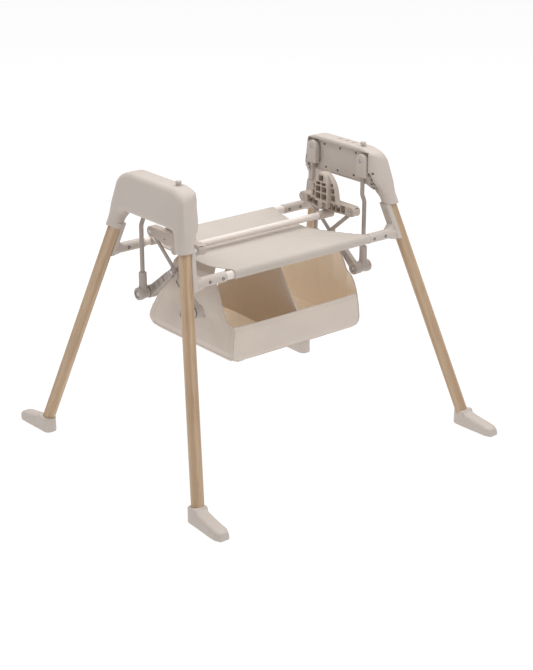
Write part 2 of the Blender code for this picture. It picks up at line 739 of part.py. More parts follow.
def panel_outline(inset=0.0, bottom=BASKET_BOTTOM):
    """A basket side panel as (y, z): wide at the bottom, narrow where it meets the shelf."""
    return [
        (-BASKET_HALF_WIDTH + inset, bottom), (BASKET_HALF_WIDTH - inset, bottom),
        (BASKET_HALF_WIDTH - inset, BASKET_RIM), (0.088, 0.4280), (0.060, 0.4700),
        (-0.060, 0.4700), (-0.088, 0.4280), (-BASKET_HALF_WIDTH + inset, BASKET_RIM),
    ]


def build_basket(swing, materials):
    swing.middle()
    length, width = BASKET_HALF_LENGTH, BASKET_HALF_WIDTH
    inner_x, inner_y = length - BASKET_WALL, width - BASKET_WALL
    tray = box_mesh((-length, -width, BASKET_BOTTOM), (length, width, BASKET_RIM))
    basket = swing.piece("storage_basket", tray, materials["basket"])
    panels = plate_mesh(panel_outline(), -length, length)
    swing.join(basket, panels)
    floor = BASKET_BOTTOM + BASKET_WALL
    inside = box_mesh((-inner_x, -inner_y, floor), (inner_x, inner_y, 0.50))
    front_gap = box_mesh((-inner_x, -width - 0.02, BASKET_RIM), (inner_x, width + 0.02, 0.52))
    swing.cut(basket, inside, front_gap)

    board_low = (-inner_x + GAP, -inner_y + GAP, floor + GAP)
    board_high = (inner_x - GAP, inner_y - GAP, floor + GAP + BOARD_THICKNESS)
    swing.piece("basket_board", box_mesh(board_low, board_high), materials["basket"])
    bottom = board_high[2] + GAP
    divider = plate_mesh(panel_outline(BASKET_WALL + GAP, bottom), -CLOTH / 2, CLOTH / 2)
    swing.piece("basket_divider", divider, materials["basket"])


def build_knob(swing, side, materials):
    """A turned release button, its cap standing proud of the tower's top."""
    x = SIDES[side] * KNOB_X
    pivot = bpy.data.objects.new(f"slide_release_{side}", None)
    pivot.empty_display_size = 0.01
    pivot.location = (x, KNOB_Y, TOWER_TOP)
    swing.parts.objects.link(pivot)
    bottom = CAVITY_TOP - TOWER_TOP - 0.005
    top = KNOB_TOP - TOWER_TOP
    profile = [
        (0.0, top), (0.0058, top), (0.0070, top - 0.0012), (0.0070, top - 0.0050),
        (0.0055, top - 0.0055), (0.0055, bottom), (0.0, bottom),
    ]
    mesh = bpy.data.meshes.new("release_profile")
    edges = [(index, index + 1) for index in range(len(profile) - 1)]
    mesh.from_pydata([(radius, 0, z) for radius, z in profile], edges, [])
    knob = bpy.data.objects.new(f"release_button_{side}", mesh)
    mesh.materials.append(materials["plastic"])
    swing.parts.objects.link(knob)
    knob.parent = pivot
    turn = knob.modifiers.new("Screw", "SCREW")
    turn.steps = turn.render_steps = ROUND
    turn.use_merge_vertices = True
    turn.merge_threshold = 0.0001
    turn.use_normal_calculate = True


def build_keys(swing, materials):
    swing.middle()
    for index in range(3):
        y = KEY_Y + (index - 1) * KEY_SPACING
        pivot = swing.pivot(f"slide_key_{index + 1}", (KEY_X, y, TOWER_TOP))
        key = rod_mesh((KEY_X, y, CAVITY_TOP - 0.0030), (KEY_X, y, TOWER_TOP + 0.0015), KEY_RADIUS)
        swing.piece(f"control_key_{index + 1}", key, materials["arm"], pivot)


def build_drive(swing, materials, arm_pivot):
    """What the right tower holds: battery, circuit board, drive coil, and the arm's magnet lever."""
    swing.middle()
    board_low = (COVER_X + COVER_THICKNESS + GAP, -0.052, 0.6605)
    board = box_mesh(board_low, (0.2940, 0.046, 0.6621))
    swing.piece("control_board", board, materials["board"])
    battery = box_mesh((0.2640, 0.0050, CAVITY_BOTTOM + GAP), (0.2900, 0.0740, 0.6250))
    swing.piece("battery_pack", battery, materials["dark"])
    coil = rod_mesh((0.2790, -0.0440, 0.6300), (0.2920, -0.0440, 0.6300), 0.0150)
    swing.piece("drive_coil", coil, materials["copper"])
    lever = plate_mesh([
        (-PIVOT_Y - 0.0080, 0.6340), (-0.0360, 0.6240), (-0.0360, 0.6360), (-PIVOT_Y - 0.0080, 0.6500),
    ], 0.2700, 0.2750)
    lever = swing.piece("drive_lever", lever, materials["arm"], arm_pivot)
    hole = rod_mesh((0.26, -PIVOT_Y, UPPER_PIVOT_Z), (0.29, -PIVOT_Y, UPPER_PIVOT_Z), SHAFT_RADIUS + GAP)
    swing.cut(lever, hole)


def build_materials():
    return {
        "plastic": make_material("plastic", (0.66, 0.61, 0.56), 0.45),
        "arm": make_material("arm_plastic", (0.47, 0.41, 0.37), 0.45),
        "tube": make_material("painted_tube", (0.62, 0.57, 0.53), 0.35),
        "wood": make_material("beech", (0.58, 0.41, 0.26), 0.55),
        "steel": make_material("steel", (0.60, 0.60, 0.60), 0.30, 1.0),
        "cloth": make_material("shelf_cloth", (0.72, 0.65, 0.58), 0.90),
        "basket": make_material("basket_cloth", (0.58, 0.49, 0.43), 0.92),
        "board": make_material("circuit_board", (0.05, 0.22, 0.10), 0.40),
        "dark": make_material("battery_case", (0.05, 0.05, 0.06), 0.50),
        "copper": make_material("coil_winding", (0.60, 0.27, 0.12), 0.35, 1.0),
    }


def main():
    swing = Builder()
    materials = build_materials()
    for side in SIDES:
        build_tower(swing, side, materials)
        build_knob(swing, side, materials)
    for end in ENDS:
        build_rail(swing, end, materials)
    for end, side in CORNERS:
        build_leg(swing, end, side, materials)
        build_foot(swing, end, side, materials)
        build_bracket(swing, end, side, materials)
        build_arm(swing, end, side, materials)
        build_pivot_cover(swing, end, side, materials)

    swing.corner("front", "right")
    carriage = swing.pivot("pivot_carriage", (ROD_LOWER_X, PIVOT_Y, LOWER_PIVOT_Z))
    for side in SIDES:
        for plane in BAR_X:
            build_brace(swing, side, plane, carriage, materials)
        build_rivet(swing, side, carriage, materials)
        build_carrier(swing, side, carriage, materials)
    build_cross_tube(swing, carriage, materials)
    build_shelf(swing, materials)
    build_basket(swing, materials)
    build_keys(swing, materials)
    build_drive(swing, materials, bpy.data.objects["pivot_arm_front_right"])


main()
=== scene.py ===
"""Looks of the baby swing stand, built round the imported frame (metres, +Z up, front is -Y)."""
import json
from math import exp, cos, pi, radians, sin

import bmesh
import bpy
from mathutils import Matrix, Vector, noise


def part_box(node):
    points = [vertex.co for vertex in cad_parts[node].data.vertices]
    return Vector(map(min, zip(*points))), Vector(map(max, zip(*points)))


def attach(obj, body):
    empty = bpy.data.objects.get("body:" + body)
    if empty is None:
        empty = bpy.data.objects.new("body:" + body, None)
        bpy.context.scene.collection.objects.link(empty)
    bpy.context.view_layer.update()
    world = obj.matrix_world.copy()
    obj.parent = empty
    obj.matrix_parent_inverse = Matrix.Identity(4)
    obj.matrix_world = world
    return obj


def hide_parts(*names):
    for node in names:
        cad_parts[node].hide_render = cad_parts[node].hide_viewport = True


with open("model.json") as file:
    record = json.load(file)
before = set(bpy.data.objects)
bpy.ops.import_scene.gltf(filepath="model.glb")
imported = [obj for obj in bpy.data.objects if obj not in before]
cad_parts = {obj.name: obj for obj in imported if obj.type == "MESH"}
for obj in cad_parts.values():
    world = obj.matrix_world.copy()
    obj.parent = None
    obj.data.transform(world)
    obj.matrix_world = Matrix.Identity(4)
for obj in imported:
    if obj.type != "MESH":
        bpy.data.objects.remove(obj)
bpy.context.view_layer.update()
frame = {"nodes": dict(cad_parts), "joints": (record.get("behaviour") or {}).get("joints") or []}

SIDES = {"left": -1, "right": 1}
ENDS = {"front": -1, "rear": 1}
CORNERS = [(end, side) for end in ENDS for side in SIDES]
KEYS = (1, 2, 3)
GAP = 0.0003

# Camera: a long lens looking down over the front left foot; the lights point at LIT_POINT
CAMERA_PLACE = Vector((-2.1076, -2.6419, 1.5670))
CAMERA_YAW = 39.01
CAMERA_PITCH = 21.46
CAMERA_LENS = 81.76
LIT_POINT = Vector((0, 0, 0.35))

# Sizes read from the frame
JOINTS = {joint["name"]: joint for joint in frame["joints"]}
UPPER_PIVOT = Vector([abs(value) for value in JOINTS["swing"]["pos_m"]])
LOWER_PIVOT = Vector([abs(value) for value in JOINTS["carriage_pivot"]["pos_m"]])
TOWER_LOW, TOWER_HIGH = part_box("tower_shell_right")
COVER_LOW, COVER_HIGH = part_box("inner_cover_right")
HOOD_LOW, HOOD_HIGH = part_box("pivot_cover_rear_right")
FOOT_LOW, FOOT_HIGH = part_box("foot_rear_right")
RAIL_LOW, RAIL_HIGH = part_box("rail_rear")
TUBE_LOW, TUBE_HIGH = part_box("cross_tube")
CARRIER_LOW, CARRIER_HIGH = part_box("seat_carrier_right")
BRACKET_LOW, BRACKET_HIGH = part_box("rail_bracket_rear_right")
ARM_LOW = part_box("swing_arm_rear_right")[0]
ELBOW_LOW, ELBOW_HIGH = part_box("elbow_rear_right")
KNUCKLE_HIGH_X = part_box("brace_inner_right")[1].x
BASKET_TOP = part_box("storage_basket")[1].z
BOARD_LOW, BOARD_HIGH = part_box("basket_board")
KNOB_LOW, KNOB_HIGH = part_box("release_button_right")

RAIL_Y = (RAIL_LOW.y + RAIL_HIGH.y) / 2
RAIL_Z = (RAIL_LOW.z + RAIL_HIGH.z) / 2
RAIL_RADIUS = (RAIL_HIGH.z - RAIL_LOW.z) / 2
TUBE_Z = (TUBE_LOW.z + TUBE_HIGH.z) / 2
TUBE_RADIUS = (TUBE_HIGH.z - TUBE_LOW.z) / 2

# Sizes that the frame's boxes don't say; SOFT is the angle in degrees up to which cloth shades smooth
TOWER_LEAN = 0.197
TOWER_OUTER_X = TOWER_HIGH.x - TOWER_LEAN * (TOWER_HIGH.z - TOWER_LOW.z)
SHOULDER_Y, SHOULDER_Z = 0.1215, 0.6600
INNER_LEAN, INNER_BEND_Z = 0.414, 0.615
HOUSING_SCREW_Y, HOUSING_SCREW_Z = 0.1190, 0.6160
ARCH_Z = 0.584
CARRIER_Z = 0.523
CARRIER_END_RADIUS = 0.0122
CARRIER_RAISED_X = 0.1990
KNUCKLE_RADIUS = 0.0148
BRACE_LOW_X = 0.2270
SLEEVE_OUTER_X = 0.2418
BAR_X = {"inner": (0.2240, 0.2285), "outer": (0.2295, 0.2340)}
ROD_RADIUS = 0.0051
PIN_HOLE = 0.0043
THROUGH_X = (0.2, 0.3)
HEEL_SLIMMER = 0.0009
TUBE_WALL = 0.0012
CLOTH = 0.0016
SOFT = 60
WELD = 0.00001


def leg_line():
    """The centre line of the rear right leg, from its lower end to its upper end."""
    mesh = frame["nodes"]["leg_rear_right"].data
    points = [vert.co for vert in mesh.vertices]
    low = min(point.z for point in points)
    high = max(point.z for point in points)
    span = 0.02
    ends = []
    for near in (low, high):
        ring = [point for point in points if abs(point.z - near) < span]
        ends.append(sum(ring, Vector()) / len(ring))
    return ends


LEG_BOTTOM, LEG_TOP = leg_line()
LEG_UP = (LEG_TOP - LEG_BOTTOM).normalized()
LEG_RADIUS = 0.0145


def leg_point(z):
    return LEG_BOTTOM.lerp(LEG_TOP, (z - LEG_BOTTOM.z) / (LEG_TOP.z - LEG_BOTTOM.z))


def outer_x(z, inset=0.0):
    return TOWER_OUTER_X + TOWER_LEAN * (TOWER_HIGH.z - z) - inset


# ---------------------------------------------------------------- mesh helpers

def rounded(corners, steps=10):
    """The outline through (a, b, radius) corners, each one rounded by an arc of that radius."""
    outline = []
    count = len(corners)
    for index, (a, b, radius) in enumerate(corners):
        here = Vector((a, b))
        if radius == 0:
            outline.append(here)
            continue
        before = Vector(corners[index - 1][:2]) - here
        after = Vector(corners[(index + 1) % count][:2]) - here
        half_angle = before.angle(after) / 2
        middle = (before.normalized() + after.normalized()).normalized()
        centre = here + middle * (radius / sin(half_angle))
        reach = radius * cos(half_angle) / sin(half_angle)
        start = here + before.normalized() * reach - centre
        sweep = start.angle_signed(here + after.normalized() * reach - centre)
        for step in range(steps + 1):
            outline.append(centre + Matrix.Rotation(-sweep * step / steps, 2) @ start)
    return outline


def rectangle(low_a, high_a, low_b, high_b, radius, steps):
    corners = [(low_a, low_b), (high_a, low_b), (high_a, high_b), (low_a, high_b)]
    return rounded([(a, b, radius) for a, b in corners], steps)


def arc(centre, radius, start, end, steps=24):
    angles = [radians(start + (end - start) * step / steps) for step in range(steps + 1)]
    return [Vector((centre[0] + radius * cos(t), centre[1] + radius * sin(t))) for t in angles]


def linked(name, data):
    """A new object in the scene."""
    made = bpy.data.objects.new(name, data)
    bpy.context.scene.collection.objects.link(made)
    return made


def aimed(direction):
    """The turn that takes +Z to a direction."""
    return Vector(direction).to_track_quat("Z", "Y").to_matrix().to_4x4()


def flipped(x=1, y=1):
    """The mirroring that takes a form made for the rear right corner to another side or end."""
    return Matrix.Diagonal((x, y, 1, 1))


def leaned(lean, shift):
    """The shear that moves a form along Y by shift and by lean for each metre up."""
    shear = Matrix.Identity(4)
    shear[1][2] = lean
    shear[1][3] = shift
    return shear


def mesh_from(shape, name="shape"):
    mesh = bpy.data.meshes.new(name)
    shape.to_mesh(mesh)
    shape.free()
    return mesh


def edit(mesh, change):
    shape = bmesh.new()
    shape.from_mesh(mesh)
    change(shape)
    shape.to_mesh(mesh)
    shape.free()
    return mesh


def welded(mesh):
    return edit(mesh, lambda shape: bmesh.ops.remove_doubles(shape, verts=shape.verts, dist=WELD))


def faced_out(mesh):
    return edit(mesh, lambda shape: bmesh.ops.recalc_face_normals(shape, faces=shape.faces))


def box_mesh(low, high):
    low, high = Vector(low), Vector(high)
    shape = bmesh.new()
    place = Matrix.Translation((low + high) / 2) @ Matrix.Diagonal((high - low).to_4d())
    bmesh.ops.create_cube(shape, size=1.0, matrix=place)
    return mesh_from(shape)


def rod_mesh(start, end, radius, segments=40):
    start, end = Vector(start), Vector(end)
    shape = bmesh.new()
    bmesh.ops.create_cone(
        shape, cap_ends=True, segments=segments, radius1=radius, radius2=radius, depth=(end - start).length,
        matrix=Matrix.Translation((start + end) / 2) @ aimed(end - start))
    return mesh_from(shape)


def rod_x(low, high, y, z, radius, segments=40):
    """A round rod along X."""
    return rod_mesh((low, y, z), (high, y, z), radius, segments)


def plate_mesh(outline, low, high, normal="X"):
    """An outline of (y, z), (x, z) or (x, y) points, thickened between low and high along its normal."""
    place = {
        "X": lambda a, b, depth: (depth, a, b),
        "Y": lambda a, b, depth: (a, depth, b),
        "Z": lambda a, b, depth: (a, b, depth),
    }[normal]
    shape = bmesh.new()
    rings = [[shape.verts.new(place(a, b, depth)) for a, b in outline] for depth in (low, high)]
    shape.faces.new(rings[0])
    shape.faces.new(rings[1])
    for index in range(len(outline)):
        after = (index + 1) % len(outline)
        shape.faces.new((rings[0][index], rings[0][after], rings[1][after], rings[1][index]))
    bmesh.ops.recalc_face_normals(shape, faces=shape.faces)
    return mesh_from(shape)


def turned_mesh(profile, start, direction, segments=48):
    """A turned solid: (radius, height) points from the bottom of the axis to its top."""
    place = Matrix.Translation(start) @ aimed(direction)
    shape = bmesh.new()
    rings = []
    for radius, height in profile:
        if radius == 0:
            rings.append([shape.verts.new(place @ Vector((0, 0, height)))])
            continue
        angles = [2 * pi * step / segments for step in range(segments)]
        rings.append([
            shape.verts.new(place @ Vector((radius * cos(t), radius * sin(t), height))) for t in angles
        ])
    for low, high in zip(rings, rings[1:]):
        for step in range(segments):
            after = (step + 1) % segments
            corners = [low[step % len(low)], low[after % len(low)],
                       high[after % len(high)], high[step % len(high)]]
            unique = list(dict.fromkeys(corners))
            if len(unique) > 2:
                shape.faces.new(unique)
    bmesh.ops.recalc_face_normals(shape, faces=shape.faces)
    return mesh_from(shape)


def tube_mesh(path, radius, sides=28):
    """A round tube along a path of points, with its rings kept square to the path."""
    path = [Vector(point) for point in path]
    shape = bmesh.new()
    rings = []
    side_way = None
    for index, point in enumerate(path):
        before = path[max(index - 1, 0)]
        after = path[min(index + 1, len(path) - 1)]
        along = (after - before).normalized()
        if side_way is None:
            side_way = along.orthogonal().normalized()
        side_way = (side_way - along * side_way.dot(along)).normalized()
        up = along.cross(side_way)
        rings.append([
            shape.verts.new(point + side_way * (radius * cos(t)) + up * (radius * sin(t)))
            for t in [2 * pi * step / sides for step in range(sides)]
        ])
    for low, high in zip(rings, rings[1:]):
        for step in range(sides):
            after = (step + 1) % sides
            shape.faces.new((low[step], low[after], high[after], high[step]))
    shape.faces.new(rings[0])
    shape.faces.new(rings[-1])
    bmesh.ops.recalc_face_normals(shape, faces=shape.faces)
    return mesh_from(shape)


def smooth_path(points, steps=8):
    """Points read from a smooth curve through the given ones."""
    points = [Vector(point) for point in points]
    ends = [2 * points[0] - points[1], *points, 2 * points[-1] - points[-2]]
    path = []
    for index in range(1, len(ends) - 2):
        a, b, c, d = ends[index - 1:index + 3]
        for step in range(steps):
            t = step / steps
            path.append(0.5 * (2 * b + (c - a) * t + (2 * a - 5 * b + 4 * c - d) * t ** 2
                               + (3 * b - a - 3 * c + d) * t ** 3))
    return path + [points[-1]]


def together(*meshes):
    """Several meshes as one, left as they are."""
    shape = bmesh.new()
    for mesh in meshes:
        shape.from_mesh(mesh)
    return mesh_from(shape)


def mirrored(mesh, mirror):
    copy = mesh.copy()
    copy.transform(mirror)
    if mirror.determinant() < 0:
        copy.flip_normals()
    return copy


def combined(mesh, adds=(), cuts=()):
    """The mesh with other meshes joined to it and cut from it."""
    target = linked("target", mesh)
    helpers = []
    for tools, operation in ((adds, "UNION"), (cuts, "DIFFERENCE")):
        for tool in tools:
            helper = linked("helper", tool)
            change = target.modifiers.new("change", "BOOLEAN")
            change.operation = operation
            change.solver = "MANIFOLD"
            change.object = helper
            helpers.append(helper)
    result = evaluated(target)
    for used in [target, *helpers]:
        bpy.data.objects.remove(used, do_unlink=True)
    return result


def evaluated(obj):
    graph = bpy.context.evaluated_depsgraph_get()
    return bpy.data.meshes.new_from_object(obj.evaluated_get(graph))


def applied(mesh, kind, **settings):
    """The mesh as one modifier leaves it."""
    holder = linked("holder", mesh)
    change = holder.modifiers.new("change", kind)
    for name, value in settings.items():
        setattr(change, name, value)
    result = evaluated(holder)
    bpy.data.objects.remove(holder, do_unlink=True)
    return result


def softened(mesh, width, segments=3):
    """The mesh with its sharp edges rounded off and its flat faces kept flat."""
    edit(mesh, lambda shape: (
        bmesh.ops.remove_doubles(shape, verts=shape.verts, dist=0.00002),
        bmesh.ops.dissolve_limit(
            shape, angle_limit=radians(1.5), verts=shape.verts, edges=shape.edges),
    ))
    return applied(
        mesh, "BEVEL", width=width, segments=segments, limit_method="ANGLE", angle_limit=radians(35))


def moved_by(mesh, shift):
    """Every vertex moved by shift(position)."""
    for vert in mesh.vertices:
        vert.co = vert.co + shift(vert.co)
    return mesh


def place(name, mesh, material, slot, replaces=None, mirror=None, body="frame", angle=35, at=None):
    """Adds a piece: its mesh, its look, the node that it stands in for and the body that it rides on."""
    mesh = mirrored(mesh, mirror) if mirror else mesh
    mesh.name = name
    if isinstance(material, tuple):
        for used in material:
            mesh.materials.append(used)
    else:
        mesh.materials.clear()
        mesh.materials.append(material)
    mesh.shade_smooth()
    mesh.set_sharp_from_angle(angle=radians(angle))
    made = linked(name, mesh)
    if at:
        made.matrix_world = at
    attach(made, body)
    if replaces:
        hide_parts(replaces)
    return made


def corner_mirror(end, side):
    return flipped(SIDES[side], ENDS[end])


# ---------------------------------------------------------------- materials

class Look:
    """A Principled material whose colour, roughness and bump come from nodes."""

    def __init__(self, name, roughness=0.5, **settings):
        self.material = bpy.data.materials.new(name)
        self.material.use_nodes = True
        self.tree = self.material.node_tree
        self.shader = self.tree.nodes["Principled BSDF"]
        self.shader.inputs["Roughness"].default_value = roughness
        for socket, value in settings.items():
            self.shader.inputs[socket.replace("_", " ")].default_value = value
        self.coords = self.node("ShaderNodeTexCoord").outputs["Object"]

    def node(self, kind, **settings):
        made = self.tree.nodes.new(kind)
        for name, value in settings.items():
            setattr(made, name, value)
        return made

    def link(self, source, target):
        self.tree.links.new(source, target)

    def stretched(self, scale):
        mapping = self.node("ShaderNodeMapping")
        mapping.inputs["Scale"].default_value = scale
        self.link(self.coords, mapping.inputs["Vector"])
        return mapping.outputs["Vector"]

    def noise(self, scale, detail=2.0, roughness=0.5, vector=None, distortion=0.0):
        made = self.node("ShaderNodeTexNoise")
        made.inputs["Scale"].default_value = scale
        made.inputs["Detail"].default_value = detail
        made.inputs["Roughness"].default_value = roughness
        made.inputs["Distortion"].default_value = distortion
        self.link(vector or self.coords, made.inputs["Vector"])
        return made.outputs["Fac"]

    def wave(self, scale, direction, distortion, detail, vector=None):
        made = self.node("ShaderNodeTexWave", bands_direction=direction)
        made.inputs["Scale"].default_value = scale
        made.inputs["Distortion"].default_value = distortion
        made.inputs["Detail"].default_value = detail
        self.link(vector or self.coords, made.inputs["Vector"])
        return made.outputs["Fac"]

    def ramp(self, source, stops):
        made = self.node("ShaderNodeValToRGB")
        elements = made.color_ramp.elements
        while len(elements) < len(stops):
            elements.new(0.5)
        for element, (position, colour) in zip(elements, stops):
            element.position = position
            element.color = (*colour, 1.0)
        self.link(source, made.inputs["Fac"])
        return made.outputs["Color"]

    def mix(self, factor, first, second, blend="MIX"):
        made = self.node("ShaderNodeMix", data_type="RGBA", blend_type=blend)
        for source, index in ((factor, 0), (first, 6), (second, 7)):
            socket = made.inputs[index]
            if isinstance(source, (int, float)):
                socket.default_value = source
            elif isinstance(source, tuple):
                socket.default_value = (*source, 1.0)
            else:
                self.link(source, socket)
        return made.outputs[2]

    def map_range(self, source, low, high):
        made = self.node("ShaderNodeMapRange")
        made.inputs["To Min"].default_value = low
        made.inputs["To Max"].default_value = high
        self.link(source, made.inputs["Value"])
        return made.outputs["Result"]

    def colour(self, source):
        self.link(source, self.shader.inputs["Base Color"])

    def rough(self, source, low, high):
        self.link(self.map_range(source, low, high), self.shader.inputs["Roughness"])

    def bump(self, height, strength, distance):
        made = self.node("ShaderNodeBump")
        made.inputs["Strength"].default_value = strength
        made.inputs["Distance"].default_value = distance
        self.link(height, made.inputs["Height"])
        self.link(made.outputs["Normal"], self.shader.inputs["Normal"])


def tinted(colour, amount):
    return tuple(value * amount for value in colour)


def plastic_look(name, colour, roughness=0.46):
    """Moulded plastic: a fine eroded texture, slight flow mottling and faint scuffs."""
    look = Look(name, roughness, Specular_IOR_Level=0.42)
    broad = look.noise(7.0, 3.0, 0.55)
    tone = look.ramp(broad, [(0.30, tinted(colour, 0.965)), (0.70, tinted(colour, 1.03))])
    speck = look.noise(1900.0, 1.0)
    tone = look.mix(look.map_range(speck, 0.0, 0.10), tone, tinted(colour, 0.80))
    look.colour(tone)
    scuff = look.noise(60.0, 5.0, 0.7, look.stretched((1.0, 1.0, 3.0)))
    look.rough(scuff, roughness - 0.07, roughness + 0.09)
    look.bump(look.noise(2600.0, 2.0, 0.6), 0.16, 0.00012)
    return look.material


def wood_look():
    """Lacquered oak or beech: grain and pores run along each leg's own length."""
    look = Look("leg_wood", 0.5, Specular_IOR_Level=0.35, Coat_Weight=0.10, Coat_Roughness=0.35)
    rings = look.noise(38.0, 5.0, 0.60, look.stretched((1.0, 1.0, 0.040)), 0.8)
    bands = look.wave(21.0, "X", 9.0, 3.0, look.stretched((1.0, 0.55, 0.030)))
    base = look.ramp(look.mix(0.28, rings, bands), [
        (0.25, (0.465, 0.312, 0.192)), (0.42, (0.570, 0.403, 0.262)),
        (0.58, (0.632, 0.465, 0.312)), (0.80, (0.690, 0.525, 0.366)),
    ])
    fleck = look.noise(520.0, 2.0, 0.6, look.stretched((1.0, 1.0, 0.030)))
    pores = look.ramp(fleck, [(0.32, (0.70, 0.63, 0.56)), (0.46, (1.0, 1.0, 1.0))])
    fibres = look.noise(900.0, 2.0, 0.6, look.stretched((1.0, 1.0, 0.012)))
    base = look.mix(0.65, base, pores, "MULTIPLY")
    base = look.mix(look.map_range(fibres, 0.0, 0.25), base, (0.45, 0.31, 0.20))
    patch = look.ramp(look.noise(6.0, 2.0), [(0.35, (0.91, 0.89, 0.87)), (0.65, (1.0, 1.0, 1.0))])
    look.colour(look.mix(1.0, base, patch, "MULTIPLY"))
    look.rough(fibres, 0.42, 0.60)
    look.bump(look.mix(0.5, fleck, fibres), 0.30, 0.00025)
    return look.material


def cloth_look(name, colour, thread=0.00085, sheen=0.25, through=None):
    """Plain-weave polyester; through is a painted glow, an emission that stands in for the daylight which
    comes through a thin wall of it.
    """
    look = Look(name, 0.88, Specular_IOR_Level=0.20, Sheen_Weight=sheen, Sheen_Roughness=0.45)
    # Painted light: a constant emission glow in place of light passing through the cloth.
    if through:
        look.shader.inputs["Emission Color"].default_value = (*through, 1)
        look.shader.inputs["Emission Strength"].default_value = 1.0
    scale = 1.0 / thread / 2.0
    warps = [look.wave(scale * 0.62, way, 0.6, 1.0) for way in ("X", "Y", "Z")]
    threads = look.mix(0.5, look.mix(0.5, warps[0], warps[1], "DIFFERENCE"), warps[2], "DIFFERENCE")
    slub = look.noise(380.0, 2.0, 0.6, look.stretched((1.0, 0.12, 0.6)))
    cloud = look.noise(9.0, 3.0, 0.5)
    tone = look.ramp(cloud, [(0.32, tinted(colour, 0.955)), (0.68, tinted(colour, 1.03))])
    tone = look.mix(look.map_range(threads, 0.13, 0.0), tone, tinted(colour, 0.62))
    tone = look.mix(look.map_range(slub, 0.0, 0.12), tone, tinted(colour, 1.12))
    look.colour(tone)
    look.rough(slub, 0.82, 0.95)
    look.bump(look.mix(0.25, threads, slub), 0.35, 0.00030)
    return look.material


def paint_look(name, colour, roughness=0.38):
    """Powder coat on steel tube: orange peel and a soft gloss."""
    look = Look(name, roughness, Specular_IOR_Level=0.5, Coat_Weight=0.15, Coat_Roughness=0.3)
    broad = look.noise(12.0, 3.0)
    tone = look.ramp(broad, [(0.3, tinted(colour, 0.97)), (0.7, tinted(colour, 1.02))])
    rub = look.noise(180.0, 4.0, 0.7)
    look.colour(look.mix(look.map_range(rub, 0.0, 0.08), tone, tinted(colour, 0.75)))
    look.rough(rub, roughness - 0.05, roughness + 0.10)
    look.bump(look.noise(700.0, 2.0), 0.10, 0.0002)
    return look.material


def steel_look():
    look = Look("zinc_steel", 0.28, Metallic=1.0)
    streak = look.noise(900.0, 3.0, 0.6, look.stretched((1.0, 0.2, 1.0)))
    look.colour(look.ramp(streak, [(0.3, (0.52, 0.52, 0.53)), (0.7, (0.74, 0.74, 0.75))]))
    look.rough(streak, 0.20, 0.40)
    look.bump(streak, 0.15, 0.00008)
    return look.material


def dark_look(name, colour, roughness=0.6):
    look = Look(name, roughness)
    grain = look.noise(300.0, 3.0)
    look.colour(look.ramp(grain, [(0.3, tinted(colour, 0.8)), (0.7, tinted(colour, 1.2))]))
    look.rough(grain, roughness - 0.08, roughness + 0.08)
    return look.material


PLASTIC = plastic_look("tower_plastic", (0.606, 0.534, 0.480))
LINK = plastic_look("linkage_plastic", (0.480, 0.415, 0.375), 0.44)
CARRIER = plastic_look("carrier_plastic", (0.580, 0.495, 0.430), 0.44)
ARM = paint_look("arm_paint", (0.430, 0.365, 0.325))
TUBE = paint_look("tube_paint", (0.850, 0.770, 0.715), 0.55)
WOOD = wood_look()
STEEL = steel_look()
SHELF = cloth_look("shelf_cloth", (0.590, 0.527, 0.470))
BASKET = cloth_look("basket_cloth", (0.725, 0.632, 0.555), 0.0010)
# The basket's inner faces: a lighter, warmer copy of the basket cloth with a painted emission glow, painted
# light for the light that comes through the cloth and bounces inside.
LINING_PAINTED_GLOW = cloth_look("basket_lining_painted_glow", (0.790, 0.670, 0.540), 0.0010, 0.25, (0.150, 0.122, 0.090))
DIVIDER = cloth_look("divider_cloth", (0.640, 0.530, 0.430), 0.0010)
BINDING = cloth_look("binding_tape", (0.640, 0.555, 0.490), 0.0006)
THREAD = cloth_look("sewing_thread", (0.700, 0.620, 0.550), 0.0004)
# Black for the dark parts, and painted shade where thin black pieces stand in for the shadow in gaps and
# screw holes.
PAINTED_SHADE_AND_BLACK = dark_look("painted_shade_and_black_parts", (0.030, 0.026, 0.023))
DARK_STEEL = dark_look("black_screws", (0.045, 0.040, 0.036), 0.45)
BOARD = dark_look("circuit_board", (0.03, 0.18, 0.08), 0.4)
COPPER = dark_look("coil_winding", (0.55, 0.26, 0.12), 0.35)


# ---------------------------------------------------------------- towers

def shoulder(z):
    """How far a tower reaches from its middle along Y, measured on the straight part of its end."""
    narrowing = (SHOULDER_Y - TOWER_HIGH.y) * (z - TOWER_LOW.z) / (SHOULDER_Z - TOWER_LOW.z)
    return TOWER_HIGH.y + narrowing


def tower_outline():
    half = [
        (TOWER_HIGH.y, TOWER_LOW.z, 0.0), (SHOULDER_Y, SHOULDER_Z, 0.032), (0.0850, TOWER_HIGH.z, 0.070)]
    arch = [
        (-0.1155, TOWER_LOW.z, 0.0), (-0.1030, ARCH_Z, 0.026),
        (0.1030, ARCH_Z, 0.026), (0.1155, TOWER_LOW.z, 0.0),
    ]
    mirror = [(-y, z, radius) for y, z, radius in reversed(half)]
    return rounded(half + mirror + arch, 12)


def smoothstep(t):
    t = max(0.0, min(1.0, t))
    return t * t * (3 - 2 * t)


def inner_x(z):
    """The inner side of a tower: upright above, and leaning out to the collars below."""
    return TOWER_LOW.x + INNER_LEAN * max(0.0, INNER_BEND_Z - z)


